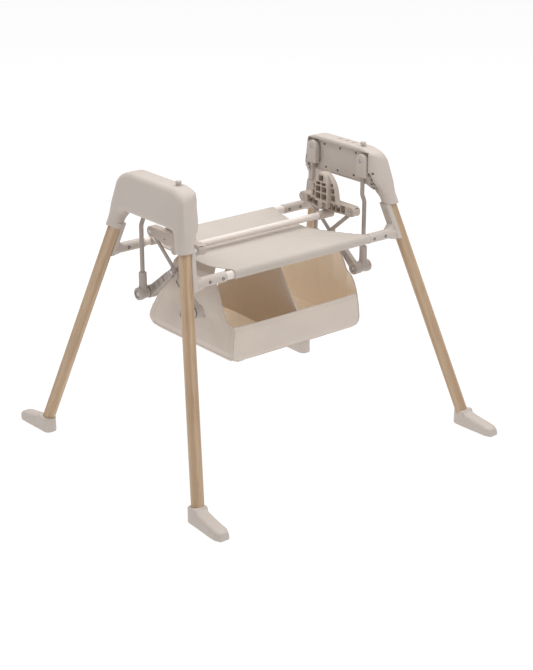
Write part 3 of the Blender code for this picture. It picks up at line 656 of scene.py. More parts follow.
def tower_form():
    """The moulded outside of a tower: soft edges, ends rounded in plan, and round collars."""
    mesh = plate_mesh(tower_outline(), TOWER_LOW.x, TOWER_HIGH.x + 0.04)

    def sliced(shape, point, normal, clear=False):
        everything = shape.verts[:] + shape.edges[:] + shape.faces[:]
        bmesh.ops.bisect_plane(
            shape, geom=everything, plane_co=point, plane_no=Vector(normal).normalized(),
            clear_outer=clear)
        if clear:
            bmesh.ops.holes_fill(shape, edges=[edge for edge in shape.edges if edge.is_boundary])

    def shape_it(shape):
        top = TOWER_HIGH.z
        sliced(shape, Vector((outer_x(top), 0, top)), (1, 0, TOWER_LEAN), True)
        sliced(shape, Vector((TOWER_LOW.x, 0, INNER_BEND_Z)), (-1, 0, -INNER_LEAN), True)
        above = TOWER_LOW.z + 0.001

        def edges_where(test):
            return [
                edge for edge in shape.edges
                if all(test(vert.co) for vert in edge.verts)
                and not all(vert.co.z < above for vert in edge.verts)
                and len(edge.link_faces) == 2 and edge.calc_face_angle(0) > radians(30)
            ]

        outer = edges_where(lambda co: abs(co.x - outer_x(co.z)) < 0.00002)
        bmesh.ops.bevel(shape, geom=outer, offset=0.0145, segments=8, profile=0.5, affect="EDGES")
        rim = edges_where(lambda co: abs(co.x - TOWER_LOW.x) < 0.00002 and co.z > 0.640)
        bmesh.ops.bevel(shape, geom=rim, offset=0.0062, segments=5, profile=0.5, affect="EDGES")
        for step in range(12):
            sliced(shape, Vector((0, 0, 0.548 + step * 0.0058)), (0, 0, 1))
        for step in range(9):
            for sign in (-1, 1):
                sliced(shape, Vector((0, sign * (0.1090 + step * 0.0052), 0)), (0, 1, 0))
        for step in range(6):
            sliced(shape, Vector((0.256 + step * 0.0105, 0, 0)), (1, 0, 0))
        bmesh.ops.recalc_face_normals(shape, faces=shape.faces)

    edit(mesh, shape_it)
    return moved_by(mesh, tower_rounding)


def tower_rounding(co):
    """Shifts a point of the tower inwards where its ends are rounded in plan and its collars are round."""
    along = abs(co.y)
    low, high = inner_x(co.z), outer_x(co.z)
    start = 0.1075
    t = max(0.0, min(1.0, (along - start) / max(0.006, shoulder(min(co.z, 0.655)) - start)))
    near = max(low, TOWER_LOW.x + 0.033 * (1 - max(0.0, 1 - t * t) ** 0.5))
    x = near + (co.x - low) * (high - near) / (high - low)
    weight = smoothstep((0.598 - co.z) / 0.042)
    centre = Vector((leg_point(co.z).x + 0.0005, leg_point(co.z).y + 0.0018))
    offset = Vector((x, along)) - centre
    size = Vector((offset.x / 0.0212, offset.y / 0.0187)).length
    weight *= max(0.0, min(1.0, (1.75 - size) / 0.30))
    shrunk = offset * (1 - weight + weight / max(size, 1.0)) + centre
    return Vector((shrunk.x - co.x, (shrunk.y - along) * (1 if co.y > 0 else -1), 0.0))


def rib_pockets():
    """The open cells between ribs on the inner side of a tower's leg branch."""
    cells = []
    lean = -0.34
    for row in range(6):
        low = 0.5535 + row * 0.0108
        middle = leg_point(low).y - 0.0062 + 0.0006 * row
        for offset, half in ((-0.0050, 0.0042), (0.0052, 0.0046)):
            cell = box_mesh(
                (TOWER_LOW.x - 0.01, middle + offset - half, low),
                (outer_x(low) - 0.0430, middle + offset + half, low + 0.0092))
            cell.transform(leaned(lean, -lean * low))
            cells.append(cell)
    return together(*cells)


def build_tower(side):
    flip = flipped(SIDES[side])
    length, top = COVER_HIGH.y + GAP, COVER_HIGH.z + GAP
    inner, back = TOWER_LOW.x - 0.01, COVER_HIGH.x
    recess = box_mesh((inner, -length, ARCH_Z - 0.02), (COVER_LOW.x, length, top))
    seat = box_mesh((inner, -length, COVER_LOW.z - GAP), (back + GAP, length, top))
    floor_z, bend_z, roof_z = COVER_LOW.z, 0.640, 0.660
    cavity = plate_mesh([
        (back, floor_z + 0.001), (outer_x(floor_z, 0.003), floor_z + 0.001),
        (outer_x(bend_z, 0.003), bend_z), (outer_x(roof_z, 0.018), roof_z), (back, roof_z)],
        -0.100, 0.100, "Y")
    cuts = [recess, seat, cavity]
    for sign in (-1, 1):
        turn = flipped(y=sign)
        hole = rod_mesh(leg_point(-0.05), leg_point(LEG_TOP.z + GAP), LEG_RADIUS + GAP)
        cuts.append(mirrored(hole, turn))
        cuts.append(mirrored(rib_pockets(), turn))
        start = Vector((inner, sign * HOUSING_SCREW_Y, HOUSING_SCREW_Z))
        cuts.append(rod_mesh(start, start + Vector((0.022, 0, 0)), 0.0032, 24))
    holes = [(KNOB_LOW, KNOB_HIGH, 0.0060)]
    if side == "right":
        for index in KEYS:
            low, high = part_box(f"control_key_{index}")
            holes.append((low, high, (high.x - low.x) / 2 + GAP))
    for low, high, radius in holes:
        middle = (low + high) / 2
        cuts.append(rod_mesh((middle.x, middle.y, 0.65), (middle.x, middle.y, 0.69), radius))
    shell = combined(tower_form(), cuts=cuts)
    place(f"tower_housing_{side}", shell, PLASTIC, "tower_plastic", f"tower_shell_{side}", flip, angle=30)
    collars = [mirrored(collar_mesh(), flipped(y=sign)) for sign in (-1, 1)]
    place(f"leg_collars_{side}", together(*collars), PLASTIC, "tower_plastic", mirror=flip)


def collar_mesh():
    """The lip of a tower's socket round a leg, square to the leg."""
    inner, outer, height = LEG_RADIUS + GAP, LEG_RADIUS + 0.0032, 0.0140
    mesh = turned_mesh([
        (inner, 0.0), (outer - 0.0008, 0.0), (outer, 0.0010), (outer, height), (inner, height),
        (inner, 0.0)], leg_point(TOWER_LOW.z - 0.0035), LEG_UP, 64)
    return welded(mesh)


def build_inner_cover(side):
    """The screwed cover inside a tower: a soft-edged plate with countersunk holes."""
    low, high = COVER_LOW, COVER_HIGH
    hole_low, hole_high = low.x - 0.01, high.x + 0.01
    outline = rounded([
        (low.y, low.z, 0.001), (high.y, low.z, 0.001), (high.y, high.z, 0.0005),
        (low.y, high.z, 0.0005)], 6)
    plate = softened(plate_mesh(outline, low.x, high.x), 0.0004, 2)
    holes = []
    screws = []
    spots = [(y, 0.6530) for y in (-0.056, 0.0, 0.056)] + [(y, 0.5975) for y in (-0.050, 0.008, 0.050)]
    for y, z in spots:
        holes.append(rod_x(hole_low, hole_high, y, z, 0.0031, 24))
        screws.append(screw_mesh((low.x + 0.0022, y, z), (-1, 0, 0), 0.0030))
    for sign in (-1, 1):
        holes.append(rod_x(hole_low, hole_high, sign * UPPER_PIVOT.y, UPPER_PIVOT.z, 0.0045, 32))
        spot = (TOWER_LOW.x + 0.0105, sign * HOUSING_SCREW_Y, HOUSING_SCREW_Z)
        screws.append(screw_mesh(spot, (-1, 0, 0), 0.0031))
    flip = flipped(SIDES[side])
    place(f"inner_panel_{side}", combined(plate, cuts=holes), PLASTIC, "tower_plastic",
          f"inner_cover_{side}", flip)
    place(f"housing_screws_{side}", together(*screws), DARK_STEEL, "steel", mirror=flip)


def screw_mesh(spot, direction, radius, kind="cross"):
    """A small pan-head screw with a cross or hexagonal recess, standing out along its direction."""
    height = radius * 0.55
    dome = [(0.0, -0.004), (radius * 0.6, -0.004), (radius * 0.6, 0.0), (radius, 0.0)]
    dome += [
        (radius * cos(radians(t)), height * (0.35 + 0.65 * sin(radians(t)))) for t in (0, 30, 55, 75)]
    dome.append((0.0, height))
    head = turned_mesh(dome, (0, 0, 0), (0, 0, 1), 24)
    if kind == "cross":
        bar, reach = radius * 0.13, radius * 0.62
        tools = [
            box_mesh((-bar, -reach, height * 0.35), (bar, reach, height * 2)),
            box_mesh((-reach, -bar, height * 0.33), (reach, bar, height * 2.1)),
        ]
    else:
        tools = [rod_mesh((0, 0, height * 0.1), (0, 0, height * 2), radius * 0.55, 6)]
    head = combined(head, cuts=tools)
    head.transform(Matrix.Translation(spot) @ aimed(direction))
    return head


def build_pivot_hood(end, side):
    """The fixed hood in front of an arm's upper pivot, open below so that the arm can swing."""
    half = (HOOD_HIGH.y - HOOD_LOW.y) / 2
    wall = 0.0013
    y, z = UPPER_PIVOT.y, UPPER_PIVOT.z

    def outline(radius, bottom):
        ring = arc((y, z), radius, 0, 180, 32)
        return ring + [Vector((y - radius, bottom)), Vector((y + radius, bottom))]

    front, back = HOOD_LOW.x, HOOD_HIGH.x
    bottom = 0.6030
    hood = softened(plate_mesh(outline(half, bottom), front, back), 0.0016, 4)
    inside = plate_mesh(outline(half - wall, bottom - 0.01), front + wall, back + 0.01)
    dish = rod_x(front - 0.001, front + 0.0008, y, z, 0.0052)
    mirror = corner_mirror(end, side)
    place(f"pivot_hood_{end}_{side}", combined(hood, cuts=[inside, dish]), PLASTIC, "tower_plastic",
          f"pivot_cover_{end}_{side}", mirror)
    # Painted shade: a thin black band just outside the hood's edge stands in for the shadow in the gap
    # round the hood.
    gap = plate_mesh(outline(half + GAP, bottom + 0.002), back - 0.0012, back - 0.0002)
    gap = combined(gap, cuts=[inside.copy()])
    place(f"hood_shadow_gap_{end}_{side}", gap, PAINTED_SHADE_AND_BLACK, "battery_case", mirror=mirror)
    screw = screw_mesh((front + 0.0010, y, z), (-1, 0, 0), 0.0040)
    place(f"pivot_screw_{end}_{side}", screw, STEEL, "steel", mirror=mirror)


# ---------------------------------------------------------------- legs, feet, rails

def build_leg(end, side):
    """A round dowel, modelled upright and then laid on the leg's own line so that its grain follows it."""
    length = (LEG_TOP - LEG_BOTTOM).length
    chamfer = 0.0010
    mesh = turned_mesh([
        (0.0, 0.0), (LEG_RADIUS - chamfer, 0.0), (LEG_RADIUS, chamfer), (LEG_RADIUS, length - chamfer),
        (LEG_RADIUS - chamfer, length), (0.0, length)], (0, 0, 0), (0, 0, 1), 64)
    flip = corner_mirror(end, side)
    start, finish = flip @ LEG_BOTTOM, flip @ LEG_TOP
    spin = Matrix.Rotation(radians(70 * CORNERS.index((end, side))), 4, "Z")
    place(f"wooden_leg_{end}_{side}", mesh, WOOD, "wood", f"leg_{end}_{side}",
          at=Matrix.Translation(start) @ aimed(finish - start) @ spin)


def foot_form():
    """A boot with a round heel about the leg's end, a crowned instep and a toe with cut corners."""
    heel, toe = FOOT_LOW.y, FOOT_HIGH.y
    half = (FOOT_HIGH.x - FOOT_LOW.x) / 2
    heel_x, toe_x = leg_point(0.018).x, FOOT_HIGH.x - half
    length = toe - heel
    instep = smooth_path([
        (0.0000, 0.0335, 0), (0.0080, 0.0350, 0), (0.0200, 0.0374, 0), (0.0300, 0.0394, 0),
        (0.0338, 0.0392, 0), (0.0372, 0.0360, 0), (0.0440, 0.0330, 0), (0.0600, 0.0294, 0),
        (0.0800, 0.0262, 0), (0.1000, 0.0232, 0), (0.1110, 0.0210, 0), (0.1170, 0.0190, 0),
        (0.1205, 0.0166, 0), (length, 0.0130, 0)], 4)
    shape = bmesh.new()
    rings = []
    for point in instep:
        along, height = min(max(point.x, 0.0), length), point.y
        back = max(0.0, 1 - along / 0.0165)
        width = half - HEEL_SLIMMER * (1 - smoothstep(along / 0.070))
        width *= 0.30 + 0.70 * (1 - back ** 2) ** 0.5
        width -= 0.0062 * max(0.0, (along - 0.1080) / (length - 0.1080)) ** 1.1
        middle_x = heel_x + (toe_x - heel_x) * smoothstep((along - 0.020) / 0.090)
        edge = min(0.0100, height * 0.46)
        if along <= 0.040:
            edge = 0.0022 + 0.0078 * max(0.0, (along - 0.035) / 0.005)
        corner = arc((width - edge, height - edge), edge, 0, 80, 8)
        side = [Vector((width - 0.0010, 0.0)), Vector((width, 0.0012))] + corner
        side += [Vector(((width - edge) * 0.5, height + 0.0003)), Vector((0.0, height + 0.0005))]
        ring = side + [Vector((-a, b)) for a, b in reversed(side[:-1])]
        rings.append([shape.verts.new((middle_x + a, heel + along, max(b, 0.0))) for a, b in ring])
    for first, second in zip(rings, rings[1:]):
        for step in range(len(first)):
            after = (step + 1) % len(first)
            shape.faces.new((first[step], first[after], second[after], second[step]))
    shape.faces.new(rings[0])
    shape.faces.new(rings[-1])
    bmesh.ops.recalc_face_normals(shape, faces=shape.faces)
    body = mesh_from(shape)
    socket = rod_mesh(leg_point(LEG_BOTTOM.z - 0.001), leg_point(0.09), LEG_RADIUS + GAP, 48)
    return combined(body, cuts=[socket])


def build_bracket():
    """The clasp along a leg's inner side and the rail socket that grows out of it."""
    low, high = leg_point(BRACKET_LOW.z), leg_point(BRACKET_HIGH.z)
    across = (Vector((1, 0, 0)) - LEG_UP * LEG_UP.x).normalized()
    turn = Matrix((across, LEG_UP.cross(across), LEG_UP)).transposed().to_4x4()
    middle = leg_point((BRACKET_LOW.z + BRACKET_HIGH.z) / 2)
    section = rounded([
        (-0.0222, -0.0125, 0.0050), (-0.0090, -0.0136, 0.0020),
        (-0.0090, 0.0136, 0.0020), (-0.0222, 0.0125, 0.0050)], 8)
    clasp = softened(plate_mesh(section, -0.060, 0.060, "Z"), 0.0010, 2)
    clasp.transform(Matrix.Translation(middle) @ turn)
    lean = (high.y - low.y) / (high.z - low.z)
    web = rounded([
        (low.x - 0.046, RAIL_Z - 0.0095, 0.005), (low.x - 0.010, BRACKET_LOW.z + 0.0070, 0.0),
        (high.x - 0.012, BRACKET_HIGH.z - 0.001, 0.0), (high.x - 0.0195, BRACKET_HIGH.z - 0.001, 0.002),
        (low.x - 0.0235, RAIL_Z + 0.026, 0.020), (low.x - 0.046, RAIL_Z + 0.0095, 0.004)], 8)
    web = softened(plate_mesh(web, -0.0098, 0.0098, "Y"), 0.0028, 4)
    web.transform(leaned(lean, low.y - lean * low.z))
    radius = 0.0117
    start = BRACKET_LOW.x
    depth = low.x - 0.008 - start
    socket = turned_mesh([
        (0.0, 0.0), (radius - 0.0006, 0.0), (radius, 0.0006), (radius, depth), (0.0, depth)],
        (start, RAIL_Y, RAIL_Z), (1, 0, 0), 56)
    rail = rod_x(start - 0.01, RAIL_HIGH.x + GAP, RAIL_Y, RAIL_Z, RAIL_RADIUS + GAP, 48)
    above = box_mesh((0.2, 0.0, BRACKET_HIGH.z), (0.4, 0.3, BRACKET_HIGH.z + 0.09))
    below = box_mesh((0.2, 0.0, 0.38), (0.4, 0.3, RAIL_Z - 0.0122))
    leg = rod_mesh(leg_point(0.3), leg_point(0.6), LEG_RADIUS + GAP, 64)
    groove = softened(box_mesh((-0.030, -0.0082, -0.0170), (-0.0205, 0.0082, 0.0170)), 0.0015, 3)
    groove.transform(Matrix.Translation(leg_point(0.5165)) @ turn)
    return combined(clasp, adds=[web, socket], cuts=[leg, rail, above, below, groove])


def socket_screws(end):
    """Two screws in each rail socket, on the side that faces the front, each ringed by a black disc that is
    painted shade for the hole it sits in.
    """
    heads, painted_hole_shades = [], []
    for x in (0.2225, 0.2580):
        for direction in (-1, 1):
            y = RAIL_Y * ENDS[end] + direction * 0.0112
            heads.append(screw_mesh((x, y, RAIL_Z), (0, direction, 0), 0.0022, "hex"))
            # Painted shade: a black disc round the head stands in for the shadow in the screw's hole.
            painted_hole_shades.append(turned_mesh(
                [(0.0, -0.002), (0.0036, -0.002), (0.0036, 0.0006), (0.0, 0.0006)],
                (x, y, RAIL_Z), (0, direction, 0), 28))
    return together(*heads), together(*painted_hole_shades)


def hollow_rod(radius, half_length, y, z):
    """An open steel tube along X, centred on the middle plane."""
    bore, length = radius - TUBE_WALL, half_length * 2
    return turned_mesh(
        [(bore, 0), (radius, 0), (radius, length), (bore, length), (bore, 0)],
        (-half_length, y, z), (1, 0, 0), 56)


def build_rails():
    for end, sign in ENDS.items():
        rail = hollow_rod(RAIL_RADIUS, RAIL_HIGH.x, sign * RAIL_Y, RAIL_Z)
        place(f"rail_tube_{end}", rail, TUBE, "painted_tube", f"rail_{end}", angle=40)
    cross = hollow_rod(TUBE_RADIUS, TUBE_HIGH.x, 0, TUBE_Z)
    place("carriage_tube", cross, TUBE, "painted_tube", "cross_tube", body="carriage", angle=40)


# ---------------------------------------------------------------- swing arms and linkage

def build_arm(end, side):
    y = UPPER_PIVOT.y
    upper_x, lower_x = UPPER_PIVOT.x, LOWER_PIVOT.x
    path = [(upper_x, y, 0.6200), (upper_x, y, 0.5900), (upper_x, y, 0.5680)]
    path += [(upper_x + (lower_x - upper_x) * (1 - cos(pi * t)) / 2, y, 0.5640 - 0.0260 * t)
             for t in [step / 10 for step in range(11)]]
    path += [(lower_x, y, 0.5300), (lower_x, y, 0.4600), (lower_x, y, ARM_LOW.z)]
    rod = tube_mesh(path, ROD_RADIUS, 32)
    outline = arc((y, UPPER_PIVOT.z), 0.0085, 0, 180, 28)
    outline += [Vector((y - 0.0085, 0.6160)), Vector((y + 0.0085, 0.6160))]
    hub = softened(plate_mesh(outline, upper_x - 0.0048, upper_x + 0.0048), 0.0008, 2)
    hole = rod_x(*THROUGH_X, y, UPPER_PIVOT.z, PIN_HOLE, 32)
    mesh = combined(rod, adds=[hub], cuts=[hole])
    place(f"arm_rod_{end}_{side}", mesh, ARM, "arm_paint", f"swing_arm_{end}_{side}",
          corner_mirror(end, side), f"arm_{end}_{side}")


def elbow_form():
    """A moulded elbow: a sleeve round the rod, flared into a boss round the lower pivot."""
    y, z = LOWER_PIVOT.y, LOWER_PIVOT.z
    inner, outer = ELBOW_LOW.x, ELBOW_HIGH.x
    radius = (ELBOW_HIGH.y - ELBOW_LOW.y) / 2
    length = outer - inner
    neck = radius - 0.0022
    boss = turned_mesh([
        (0.0, 0.0), (neck - 0.0010, 0.0), (neck, 0.0008), (neck + 0.0003, 0.0120),
        (radius - 0.0002, 0.0185), (radius, 0.0215), (radius, length - 0.0030),
        (radius - 0.0010, length - 0.0010), (radius - 0.0030, length), (0.0, length)],
        (inner, y, z), (1, 0, 0), 64)
    sleeve_radius = 0.0092
    top = ELBOW_HIGH.z
    sleeve = turned_mesh([
        (0.0, 0.0), (0.0110, 0.0), (0.0106, 0.0120), (0.0096, 0.0180), (sleeve_radius, 0.0240),
        (sleeve_radius, top - z - 0.0016), (sleeve_radius - 0.0016, top - z), (0.0, top - z)],
        (LOWER_PIVOT.x, y, z), (0, 0, 1), 48)
    x = LOWER_PIVOT.x
    bore = rod_mesh((x, y, ARM_LOW.z - GAP), (x, y, top + 0.01), ROD_RADIUS + GAP)
    pin = rod_x(*THROUGH_X, y, z, PIN_HOLE, 32)
    dish = rod_x(outer - 0.0030, outer + 0.01, y, z, 0.0088, 48)
    ring = rod_x(inner - 0.01, inner + 0.0010, y, z, 0.0070)
    return combined(boss, adds=[sleeve], cuts=[bore, pin, dish, ring])


def build_elbow(end, side, form):
    mirror, body = corner_mirror(end, side), f"arm_{end}_{side}"
    place(f"elbow_joint_{end}_{side}", form.copy(), LINK, "linkage_plastic", f"elbow_{end}_{side}",
          mirror, body)
    y, z = LOWER_PIVOT.y, LOWER_PIVOT.z
    start = BRACE_LOW_X + 0.0004
    length = ELBOW_HIGH.x - 0.0016 - start
    pin = turned_mesh([
        (0.0, 0.0), (0.0033, 0.0), (0.0040, 0.0007), (0.0040, length - 0.0010),
        (0.0058, length - 0.0010), (0.0058, length), (0.0, length)], (start, y, z), (1, 0, 0), 32)
    place(f"lower_pin_{end}_{side}", pin, STEEL, "steel", f"elbow_pin_{end}_{side}", mirror, body)
    washer = ring_mesh((ELBOW_LOW.x - 0.0007, y, z), (1, 0, 0), 0.0050, 0.0130, 0.0006)
    place(f"pivot_washer_{end}_{side}", washer, PAINTED_SHADE_AND_BLACK, "battery_case", None, mirror, body)


def ring_mesh(start, direction, inner, outer, thickness, segments=48):
    profile = [(inner, 0), (outer, 0), (outer, thickness), (inner, thickness), (inner, 0)]
    return welded(turned_mesh(profile, start, direction, segments))


def brace_form(plane):
    """One bar of the scissor brace: a flat upper half, and a ribbed, tapered sleeve with a knuckle."""
    foot = Vector((LOWER_PIVOT.y, LOWER_PIVOT.z))
    head = Vector((-LOWER_PIVOT.y, CARRIER_Z))
    along = (head - foot).normalized()
    across = Vector((-along.y, along.x))
    centre = (foot + head) / 2
    low_x, high_x = BAR_X[plane]

    def strip(start, finish, start_half, finish_half):
        return [start + across * start_half, start - across * start_half,
                finish - across * finish_half, finish + across * finish_half]

    bar = softened(plate_mesh(strip(foot, head, 0.0048, 0.0048), low_x, high_x), 0.0012, 3)
    eye = softened(rod_x(low_x + GAP, high_x - GAP, *head, 0.0078), 0.0008, 2)
    width = KNUCKLE_HIGH_X - BRACE_LOW_X
    radius = KNUCKLE_RADIUS
    knuckle = turned_mesh([
        (0.0, 0.0), (radius - 0.0020, 0.0), (radius - 0.0005, 0.0006), (radius, 0.0018),
        (radius, width - 0.0012), (radius - 0.0010, width), (0.0, width)],
        (BRACE_LOW_X, *foot), (1, 0, 0), 64)
    sleeve_end = centre - along * 0.020
    sleeve_low = low_x + GAP
    sleeve = softened(
        plate_mesh(strip(foot, sleeve_end, 0.0118, 0.0085), sleeve_low, SLEEVE_OUTER_X), 0.0018, 3)
    adds = [eye, knuckle, sleeve]
    start, finish = foot + along * 0.0200, sleeve_end - along * 0.0030
    cuts = []
    if plane == "inner":
        tip_low = BAR_X["outer"][1] + GAP
        tip = strip(sleeve_end - along * 0.006, centre, 0.0080, 0.0067)
        tip = softened(plate_mesh(tip, tip_low, SLEEVE_OUTER_X - GAP), 0.0010, 2)
        cap = softened(rod_x(tip_low + GAP, SLEEVE_OUTER_X + GAP, *centre, 0.0069), 0.0010, 2)
        adds += [tip, cap]
    for depth_low, depth_high in ((0.2, sleeve_low + 0.0022), (SLEEVE_OUTER_X - 0.0022, 0.3)):
        pieces = 3
        for piece in range(pieces):
            a = start.lerp(finish, piece / pieces) + along * 0.0011
            b = start.lerp(finish, (piece + 1) / pieces) - along * 0.0011
            cuts.append(plate_mesh(strip(a, b, 0.0062, 0.0058), depth_low, depth_high))
    cuts.append(rod_x(0.2, BRACE_LOW_X + 0.0014, *foot, 0.0082))
    for point, hole in ((foot, 0.0045), (head, 0.0030), (centre, 0.0033)):
        cuts.append(rod_x(*THROUGH_X, *point, hole, 32))
    return combined(bar, adds=adds, cuts=cuts)


def build_rivet(side):
    centre = (0.0, (LOWER_PIVOT.z + CARRIER_Z) / 2)
    low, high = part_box("brace_rivet_right")
    length = high.x - low.x
    profile = [
        (0.0, 0.0), (0.0030, 0.0), (0.0046, 0.0007), (0.0048, 0.0016), (0.0030, 0.0017),
        (0.0030, length - 0.0031), (0.0048, length - 0.0030), (0.0046, length - 0.0012),
        (0.0032, length - 0.0002), (0.0014, length), (0.0012, length - 0.0006), (0.0, length - 0.0006)]
    rivet = turned_mesh(profile, (low.x, *centre), (1, 0, 0), 32)
    place(f"crossing_rivet_{side}", rivet, STEEL, "steel", f"brace_rivet_{side}", flipped(SIDES[side]),
          "carriage")


# ---------------------------------------------------------------- seat carriers

def dome_outline(points):
    """A dome's outline from (y, z) points of its right side, the last of them its top."""
    half = [Vector(point[:2]) for point in smooth_path([(y, z, 0) for y, z in points], 5)]
    return half + [Vector((-point.x, point.y)) for point in reversed(half[:-1])]


def carrier_form():
    """A ribbed seat carrier: a bar with round bosses, a thinner dome and a raised middle to the dome."""
    bar_low, bar_high = 0.2155, CARRIER_HIGH.x
    dome_low, dome_high = 0.2085, 0.2215
    radius = CARRIER_END_RADIUS
    y, z = LOWER_PIVOT.y, CARRIER_Z
    top, crown = z + radius, CARRIER_HIGH.z
    outline = arc((-y, z), radius, 90, 270, 24)
    outline += rounded([
        (-0.0620, z - radius, 0.0), (-0.0200, z - 0.0150, 0.030),
        (0.0300, z - 0.0190, 0.030), (0.0640, z - radius, 0.0)], 6)
    outline += arc((y, z), radius, -90, 90, 24)
    bar = softened(plate_mesh(outline, bar_low, bar_high), 0.0024, 4)
    dome = dome_outline([
        (0.0530, z + 0.004), (0.0500, top + 0.0010), (0.0455, top + 0.0080), (0.0425, 0.5580),
        (0.0385, 0.5720), (0.0310, 0.5850), (0.0180, 0.5975), (0.0070, crown - 0.0010),
        (0.0, crown - 0.0004)])
    dome = softened(plate_mesh(dome, dome_low, dome_high), 0.0022, 4)
    middle = dome_outline([
        (0.0226, z - 0.004), (0.0224, 0.5500), (0.0222, 0.5680), (0.0205, 0.5840), (0.0145, 0.5970),
        (0.0060, crown - 0.0009), (0.0, crown)])
    middle = softened(plate_mesh(middle, CARRIER_RAISED_X, dome_low + 0.003), 0.0012, 3)
    socket = turned_mesh([
        (0.0, 0.0), (0.0095, 0.0), (0.0105, 0.0010), (0.0105, 0.0435), (0.0095, 0.0445), (0.0, 0.0445)],
        (CARRIER_LOW.x, 0, TUBE_Z), (1, 0, 0), 48)
    cuts = []
    dome_back = dome_high - 0.0025
    cells = (
        (0.5375, 0.0155, 0.0014, 0.0196), (0.5555, 0.0145, 0.0014, 0.0192),
        (0.5725, 0.0075, 0.0014, 0.0170), (0.5380, 0.0150, 0.0250, 0.0405),
        (0.5555, 0.0135, 0.0250, 0.0380), (0.5715, 0.0090, 0.0250, 0.0325))
    for sign in (-1, 1):
        for low, height, near, far in cells:
            cuts.append(pocket(sign * near, sign * far, low, low + height, dome_back))
    cuts.append(pocket(-0.0085, 0.0085, 0.5825, 0.5970, dome_back))
    back = bar_high - 0.0035
    for near, far in ((0.0040, 0.0190), (0.0212, 0.0350), (0.0372, 0.0510), (0.0532, 0.0690)):
        cuts.append(pocket(-near, -far, z - 0.0096, z + 0.0094, back))
    for near, far, drop in ((0.0080, 0.0280, 0.0145), (0.0302, 0.0460, 0.0125), (0.0482, 0.0680, 0.0100)):
        cell = plate_mesh(rounded([
            (near, z - drop, 0.001), (far, z - 0.0080, 0.001), (far, z + 0.0094, 0.001),
            (near, z + 0.0094, 0.001)], 3), 0.19, back)
        cuts.append(cell)
    for sign in (-1, 1):
        slot_low, slot_high = sorted((sign * 0.0550, sign * (y + 0.0092)))
        cuts.append(box_mesh((0.2236, slot_low, 0.50), (0.2344, slot_high, z + 0.0092)))
        cuts.append(ring_mesh((bar_low - 0.0005, sign * y, z), (1, 0, 0), 0.0056, 0.0070, 0.0014, 40))
        cuts.append(rod_x(bar_high - 0.004, bar_high + 0.01, sign * 0.030, z - 0.004, 0.0022, 20))
    cuts.append(rod_x(0.1, TUBE_HIGH.x + GAP, 0, TUBE_Z, TUBE_RADIUS + GAP, 48))
    return combined(bar, adds=[dome, middle, socket], cuts=cuts)


def pocket(low_y, high_y, low_z, high_z, back):
    """A cell between ribs, open towards the seat."""
    low_y, high_y = sorted((low_y, high_y))
    return plate_mesh(rectangle(low_y, high_y, low_z, high_z, 0.0012, 3), 0.19, back)


def end_pins():
    """The pins that hold the braces' upper ends in a carrier's bosses."""
    pins = []
    low, high = 0.2149, CARRIER_HIGH.x + 0.0006
    for sign in (-1, 1):
        length = high - low
        pins.append(turned_mesh([
            (0.0, 0.0006), (0.0018, 0.0006), (0.0024, 0.0), (0.0040, 0.0), (0.0050, 0.0008),
            (0.0029, 0.0009), (0.0029, length - 0.0009), (0.0050, length - 0.0008), (0.0040, length),
            (0.0, length)], (low, sign * LOWER_PIVOT.y, CARRIER_Z), (1, 0, 0), 32))
    return together(*pins)


# ---------------------------------------------------------------- buttons

def build_buttons():
    middle = (KNOB_LOW + KNOB_HIGH) / 2
    height = KNOB_HIGH.z - KNOB_LOW.z
    profile = [
        (0.0, 0.0), (0.0050, 0.0), (0.0055, 0.0005), (0.0055, height - 0.0062), (0.0062, height - 0.0056),
        (0.0070, height - 0.0050), (0.0070, height - 0.0014), (0.0064, height - 0.0004),
        (0.0052, height), (0.0040, height - 0.0004), (0.0, height - 0.0006)]
    for side, sign in SIDES.items():
        knob = turned_mesh(profile, (sign * middle.x, middle.y, KNOB_LOW.z), (0, 0, 1), 48)
        place(f"release_knob_{side}", knob, PLASTIC, "tower_plastic", f"release_button_{side}",
              body=f"release_{side}")
    for index in KEYS:
        low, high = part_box(f"control_key_{index}")
        centre = (low + high) / 2
        radius, height = (high.x - low.x) / 2, high.z - low.z
        profile = [
            (0.0, 0.0), (radius, 0.0), (radius, height - 0.0007), (radius - 0.0007, height),
            (radius * 0.5, height - 0.0003), (0.0, height - 0.0004)]
        key = turned_mesh(profile, (centre.x, centre.y, low.z), (0, 0, 1), 40)
        place(f"key_cap_{index}", key, PLASTIC, "tower_plastic", f"control_key_{index}",
              body=f"key_{index}")


# ---------------------------------------------------------------- cloth

def shelf_right_edge(y):
    """The shelf's right edge bows inwards, more towards the front corner."""
    across = y / RAIL_Y
    reach = 0.059 if y < 0 else 0.035
    power = 1.25 if y < 0 else 1.6
    return 0.1465 + reach * min(abs(across), 1.0) ** power


def shelf_left_edge(y):
    across = min(abs(y) / RAIL_Y, 1.0)
    return -0.2090 + 0.0190 * max(0.0, (across - 0.62) / 0.38) ** 1.2


def shelf_section():
    """(y, z, hem) points across the shelf, from round the front rail over to round the rear one."""
    radius = 0.0112
    top = RAIL_Z + radius
    section = []
    start = 25
    for step in range(15):
        angle = radians(start - (start + 270) * step / 14)
        section.append((-RAIL_Y + radius * cos(angle), RAIL_Z + radius * sin(angle), 1.0))
    flat, steps = 0.118, 44
    for step in range(1, steps):
        y = -RAIL_Y + 2 * RAIL_Y * step / steps
        rise = min(1.0, max(0.0, (abs(y) - flat) / (RAIL_Y - flat)))
        sag = 0.0033 * (1 - (y / RAIL_Y) ** 2)
        z = top - 0.0012 * (1 - rise ** 2) - sag
        section.append((y, z, max(0.0, 1 - (RAIL_Y - abs(y)) / 0.02)))
    for step in range(15):
        angle = radians(90 - (start + 270) * step / 14)
        section.append((RAIL_Y + radius * cos(angle), RAIL_Z + radius * sin(angle), 1.0))
    return section


